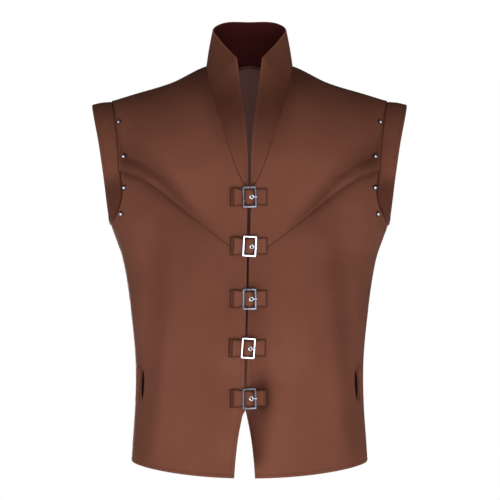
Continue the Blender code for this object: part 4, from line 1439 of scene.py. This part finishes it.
def strap_place(buckle, along, up, lift):
    """A place on a strap: along the belt line, up from it, and lifted off the front."""
    with_bar = ease(TILT_REACH - abs(along) / STRAP_HEIGHT)
    shifted = along - math.sin(math.radians(buckle.tilt)) * up * with_bar
    folds = ease((abs(along) - BRIDGE_HALF) / BRIDGE_FADE)
    point, normal = front_place(buckle.x + shifted, buckle.height + up, folds=folds)
    return point + normal * lift, normal


def belt_base(buckle):
    """How far above the front its straps lie, because the upper ones lie on the flaps."""
    return STRAP_GAP + (FLAP_TOP if buckle.on_flap else 0)


def strap_rows(buckle, bends):
    """A strap's rows, from its bottom edge to its top, smooth along its bends."""
    fine = near_edge(STRAP_STITCH)
    start, end = bends[0].along, bends[-1].along
    steps = round((end - start) / STRAP_STEP_LENGTH)
    rows = []
    for place in spread(STRAP_HEIGHT, fine, STRAP_STEPS):
        row = []
        for distance in spread(end - start, fine, steps):
            along = start + distance
            lift = belt_base(buckle) + smooth(bends, along, "height")
            up = (place / STRAP_HEIGHT - 0.5) * straight(STRAP_HEIGHTS, along, "height")
            row.append(strap_place(buckle, along, up, lift))
        rows.append(row)
    return rows


for number, buckle in enumerate(BUCKLES, 1):
    for kind, bends, flat, sewn_end in (
        ("strap", STRAP_BENDS, STRAP_FLAT, "strap"), ("anchor", ANCHOR_BENDS, ANCHOR_FLAT, "tab end")
    ):
        tailor(
            f"{kind}_{number}", strap_rows(buckle, bends), Edges(sewn_end, "strap", "strap", "strap"),
            STRAP_CLOTH, flat, "stretched", stitch=STRAP_STITCH,
        )

# Buckles: a flat polished steel frame with a centre bar under the strap, a prong hooked round
# that bar, and a small eyelet pressed into the strap where the prong comes through.
BUCKLE_WIDTH = 0.0226
BUCKLE_HEIGHT = 0.0340
BUCKLE_BAR = 0.0033
BUCKLE_THICKNESS = 0.0018
BUCKLE_CORNER = 0.0022
BUCKLE_WINDOW_CORNER = 0.0006
BUCKLE_WINDOW_STEPS = 2
BUCKLE_EDGE = 0.00080
BUCKLE_CORNER_STEPS = 6
BEVEL_STEPS = 3
WELD = 1e-6
SHARP_EDGE = 40
SHARP_TURN = 50
POLISHED_FACE = 0.92
CENTRE_BAR = 0.0012
PRONG_RADIUS = 0.0009
PRONG_RING = 0.0020
PRONG_ANGLES = (-70, -92, -115, -138, -160, 178, 155, 135, 115, 97, 80)
PRONG_ARM = table(
    "along height",
    (0.0020, 0.0071), (0.0045, 0.0075), (0.0096, 0.0074), (0.0120, 0.0069),
)
EYELET_ALONG = 0.0037
EYELET_LIFT = 0.0007
EYELET_LEAN = 0.60
EYELET_PROFILE = table(
    "radius rise",
    (0.0, -0.0003), (0.0020, -0.0003), (0.0021, 0.0001), (0.0024, 0.0006),
    (0.0030, 0.0008), (0.0037, 0.0005), (0.0042, -0.0002), (0.0043, -0.0012),
)
EYELET_HOLE = EYELET_PROFILE[2].radius
TURN_STEPS = 28
SCRATCHED = 0.86
POLISH_LESS = 0.05
POLISH_MORE = 0.12


def steel_material(name, colour, roughness):
    """Polished steel: fine scratches and a faint clouding of the polish."""
    finish = Finish(name)
    place = finish.add("TexCoord").outputs["Object"]
    stretch = finish.add("Mapping", Vector=place, Scale=(1.0, 1.0, 14.0))
    scratches = finish.noise(stretch.outputs["Vector"], Scale=420.0, Detail=4.0, Roughness=0.7)
    clouds = finish.noise(place, Scale=160.0, Detail=2.0)
    finish.surface(
        Base_Color=finish.ramp(scratches, [part * SCRATCHED for part in colour], colour),
        Roughness=finish.between(clouds, roughness - POLISH_LESS, roughness + POLISH_MORE),
        Normal=finish.bump(scratches, Strength=0.12, Distance=0.00005),
        Metallic=1.0,
    )
    return finish.material


STEEL = steel_material("bright_steel", (0.62, 0.64, 0.69), 0.20)
# Painted darker reflection: the darker steel of buckles 1, 3 and 5
STEEL_PAINTED_DARKER = steel_material("steel_painted_darker", (0.290, 0.310, 0.370), 0.24)
# Painted shade: the near-black steel of rounded edges, eyelet holes and rivet flanges
STEEL_PAINTED_SHADE = steel_material("steel_painted_shade", (0.040, 0.038, 0.044), 0.50)


def belt_matrix(buckle):
    """Puts a flat buckle on the front: its X along the belt line, its Z outwards."""
    point, normal = front_place(buckle.x, buckle.height, folds=0.0)
    lift = belt_base(buckle) + BUCKLE_MIDDLE
    seat = laid_on(point + normal * lift, normal, buckle.tilt)
    seat = seat @ Matrix.Rotation(math.radians(buckle.pitch), 4, "X")
    return seat @ Matrix.Rotation(math.radians(buckle.yaw), 4, "Y")


def rounded_outline(width, height, corner, steps):
    """The corners of a rectangle with round corners, anticlockwise."""
    points = []
    for quarter, (x, y) in enumerate(((1, 1), (-1, 1), (-1, -1), (1, -1))):
        for step in range(steps + 1):
            angle = QUARTER * (quarter + step / steps)
            points.append((
                x * (width / 2 - corner) + corner * math.cos(angle),
                y * (height / 2 - corner) + corner * math.sin(angle),
            ))
    return points


def curve_piece(name, lines, matrix, shape, polish=STEEL, painted_dark_edges=False):
    """A steel piece from a curve: straight runs of points, given a shape by shape(curve).

    With dark edges asked for, its rounded edges are painted dark as painted shade, and only its flat
    face stays polished.
    """
    curve = bpy.data.curves.new(name, "CURVE")
    shape(curve)
    for points, cyclic in lines:
        spline = curve.splines.new("POLY")
        spline.points.add(len(points) - 1)
        for corner, point in zip(spline.points, points):
            corner.co = (*point, 0.0, 1.0) if len(point) == 2 else (*point, 1.0)
        spline.use_cyclic_u = cyclic
    guide = bpy.data.objects.new(name + "_guide", curve)
    bpy.context.scene.collection.objects.link(guide)
    mesh = bmesh.new()
    mesh.from_mesh(as_made(guide))
    bpy.data.objects.remove(guide)
    bmesh.ops.remove_doubles(mesh, verts=mesh.verts[:], dist=WELD)
    for face in mesh.faces:
        face.material_index = 1 if painted_dark_edges and face.normal.z < POLISHED_FACE else 0
    mesh.transform(matrix)
    piece = finished(name, mesh, polish, STEEL_PAINTED_SHADE)
    piece.data.set_sharp_from_angle(angle=math.radians(SHARP_EDGE))
    return piece


def flat_frame(curve):
    curve.dimensions = "2D"
    curve.fill_mode = "BOTH"
    curve.extrude = BUCKLE_THICKNESS / 2 - BUCKLE_EDGE
    curve.bevel_depth = BUCKLE_EDGE
    curve.bevel_resolution = BEVEL_STEPS
    curve.offset = -BUCKLE_EDGE


def round_wire(curve):
    curve.dimensions = "3D"
    curve.bevel_depth = PRONG_RADIUS
    curve.bevel_resolution = BEVEL_STEPS
    curve.use_fill_caps = True


def turned_piece(name, profile, matrix, dark=None):
    """A steel piece turned about its own axis, from the middle of its face out and down.

    dark(radius) says where its steel is painted dark, as painted shade.
    """
    mesh = bmesh.new()
    corners = [mesh.verts.new((turned.radius, 0, turned.rise)) for turned in profile]
    line = [mesh.edges.new(pair) for pair in zip(corners, corners[1:])]
    bmesh.ops.spin(
        mesh, geom=corners + line, cent=(0, 0, 0), axis=(0, 0, 1), angle=2 * math.pi,
        steps=TURN_STEPS, use_merge=False, use_duplicate=False,
    )
    bmesh.ops.remove_doubles(mesh, verts=mesh.verts[:], dist=WELD)
    bmesh.ops.holes_fill(mesh, edges=[edge for edge in mesh.edges if edge.is_boundary])
    bmesh.ops.recalc_face_normals(mesh, faces=mesh.faces[:])
    for face in mesh.faces:
        middle = face.calc_center_median()
        face.material_index = 1 if dark and dark(math.hypot(middle.x, middle.y)) else 0
    mesh.transform(matrix)
    piece = finished(name, mesh, STEEL, STEEL_PAINTED_SHADE)
    piece.data.set_sharp_from_angle(angle=math.radians(SHARP_TURN))
    return piece


def fasten(piece, *nodes):
    """Makes a steel piece move with the vest, and hides the solids that it stands for."""
    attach(piece, "root")
    if nodes:
        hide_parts(*nodes)


def make_frame(number, buckle, matrix):
    """A buckle's flat frame, with a window on each side of its centre bar."""
    window = (BUCKLE_WIDTH - 2 * BUCKLE_BAR - CENTRE_BAR) / 2
    outline = rounded_outline(BUCKLE_WIDTH, BUCKLE_HEIGHT, BUCKLE_CORNER, BUCKLE_CORNER_STEPS)
    hole = rounded_outline(
        window, BUCKLE_HEIGHT - 2 * BUCKLE_BAR, BUCKLE_WINDOW_CORNER, BUCKLE_WINDOW_STEPS
    )
    lines = [(outline, True)]
    for side in (LEFT, RIGHT):
        middle = side * (CENTRE_BAR + window) / 2
        lines.append(([(x + middle, y) for x, y in hole], True))
    # Buckles 1, 3 and 5 get the darker steel, a painted darker reflection
    polish = STEEL_PAINTED_DARKER if buckle.worn else STEEL
    name = f"buckle_{number}"
    fasten(curve_piece(name + "_frame", lines, matrix, flat_frame, polish, painted_dark_edges=True), name)


def make_prong(number, matrix):
    """A prong: its ring round the centre bar, and its arm out over the eyelet to the frame."""
    hook = []
    for angle in PRONG_ANGLES:
        way = math.radians(angle)
        hook.append((PRONG_RING * math.cos(way), 0.0, PRONG_RING * math.sin(way)))
    arm = [(bend.along, 0.0, bend.height - BUCKLE_MIDDLE) for bend in PRONG_ARM]
    name = f"prong_{number}"
    fasten(curve_piece(name + "_wire", [(hook + arm, False)], matrix, round_wire), name)


def make_eyelet(number, matrix):
    """An eyelet, pressed into the strap where it slopes down from the centre bar."""
    lift = smooth(STRAP_BENDS, EYELET_ALONG, "height") + EYELET_LIFT - BUCKLE_MIDDLE
    seat = matrix @ Matrix.Translation((EYELET_ALONG, 0, lift))
    seat = seat @ Matrix.Rotation(EYELET_LEAN, 4, "Y")
    # Its hole is painted dark, as painted shade
    fasten(turned_piece(f"eyelet_{number}", EYELET_PROFILE, seat, lambda r: r < EYELET_HOLE))


for number, buckle in enumerate(BUCKLES, 1):
    matrix = belt_matrix(buckle)
    make_frame(number, buckle, matrix)
    make_prong(number, matrix)
    make_eyelet(number, matrix)

# Rivets: small domed steel rivets through the cloth beside each armhole seam, each with a
# narrow flange under its dome.
RIVETS = table(
    "height x on_flap gap",
    (-0.0950, 0.2128, True, 0.0005),
    (-0.1512, 0.2065, True, 0.0009),
    (-0.2027, 0.2030, False, 0.0005),
    (-0.2450, 0.2085, False, 0.0005),
)
RIVET_PROFILE = table(
    "radius rise",
    (0.0, 0.0029), (0.0008, 0.00285), (0.0016, 0.0026), (0.0024, 0.0021),
    (0.0030, 0.0014), (0.0033, 0.0007), (0.0036, 0.0006), (0.0043, 0.0005),
    (0.0047, 0.0001), (0.0047, -0.0004), (0.0, -0.0004),
)
RIVET_DOME = 0.0029

for side, word in SIDES:
    for number, rivet in enumerate(RIVETS, 1):
        point, normal = front_place(side * rivet.x, rivet.height, not rivet.on_flap)
        lift = rivet.gap + (FLAP_TOP if rivet.on_flap else 0)
        outwards = normal.to_track_quat("Z", "Y").to_matrix().to_4x4()
        matrix = Matrix.Translation(point + normal * lift) @ outwards
        name = f"rivet_{word}_{number}"
        # The flange round each dome is painted dark, as painted shade
        dome = turned_piece(name + "_dome", RIVET_PROFILE, matrix, lambda r: r > RIVET_DOME)
        fasten(dome, name)

# Studio: a plain pale floor as far below as a wearer's feet, a white surround, soft lights in
# front, behind and beside, and the camera at chest height, three metres away.
FLOOR_HEIGHT = -1.45
FLOOR_SIZE = 9.0
FLOOR_PAINT = (0.90, 0.90, 0.90, 1)
FLOOR_GLOW = 0.55
WHITE = (1, 1, 1, 1)
CAMERA_PLACE = (0.00083, -3.0, -0.3038)
FRAME_WIDTH = 0.83
SENSOR_WIDTH = 36.0
SURROUND = 0.10
VEST_MIDDLE = (0, 0, -0.32)
VEST_LOW = (0, 0, -0.45)
VEST_HEM = (0, 0, -0.65)
LIGHTS = table(
    "name place target size power",
    ("front_light", (0.3, -2.4, -0.75), VEST_MIDDLE, 1.0, 9.4),
    ("hem_light", (0.0, -1.7, -1.2), VEST_HEM, 1.2, 10.5),
    ("left_light", (-2.6, -1.5, -0.35), VEST_LOW, 1.4, 27.5),
    ("right_light", (2.7, -1.5, -0.35), VEST_LOW, 1.4, 25.5),
    ("high_light", (0.2, -2.7, 1.6), VEST_MIDDLE, 1.4, 13.0),
    ("back_light", (-0.4, 2.6, -0.7), VEST_MIDDLE, 1.4, 60.0),
)


def look_at(place, target):
    return (Vector(target) - Vector(place)).to_track_quat("-Z", "Y").to_euler()


bpy.ops.mesh.primitive_plane_add(size=FLOOR_SIZE, location=(0, 0, FLOOR_HEIGHT))
floor = bpy.context.active_object
floor.name = "floor"
paint = Finish("pale_floor")
paint.surface(
    Base_Color=FLOOR_PAINT, Roughness=0.9, Emission_Color=WHITE, Emission_Strength=FLOOR_GLOW
)
floor.data.materials.append(paint.material)

surround = bpy.data.worlds.new("surround")
surround.use_nodes = True
bpy.context.scene.world = surround
sky = surround.node_tree
seen = sky.nodes.new("ShaderNodeLightPath")
lighting = sky.nodes["Background"]
lighting.inputs["Color"].default_value = WHITE
lighting.inputs["Strength"].default_value = SURROUND
white = sky.nodes.new("ShaderNodeBackground")
white.inputs["Color"].default_value = WHITE
either = sky.nodes.new("ShaderNodeMixShader")
sky.links.new(seen.outputs["Is Camera Ray"], either.inputs["Fac"])
sky.links.new(lighting.outputs["Background"], either.inputs[1])
sky.links.new(white.outputs["Background"], either.inputs[2])
sky.links.new(either.outputs["Shader"], sky.nodes["World Output"].inputs["Surface"])

for light in LIGHTS:
    lamp = bpy.data.lights.new(light.name, "AREA")
    lamp.shape = "SQUARE"
    lamp.size = light.size
    lamp.energy = light.power
    holder = bpy.data.objects.new(light.name, lamp)
    holder.location = light.place
    holder.rotation_euler = look_at(light.place, light.target)
    bpy.context.scene.collection.objects.link(holder)

lens = bpy.data.cameras.new("camera")
lens.sensor_width = SENSOR_WIDTH
lens.lens = SENSOR_WIDTH * abs(CAMERA_PLACE[1]) / FRAME_WIDTH
camera = bpy.data.objects.new("camera", lens)
camera.location = CAMERA_PLACE
camera.rotation_euler = (math.radians(90), 0, 0)
bpy.context.scene.collection.objects.link(camera)
bpy.context.scene.camera = camera
bpy.context.scene.view_settings.view_transform = "Standard"
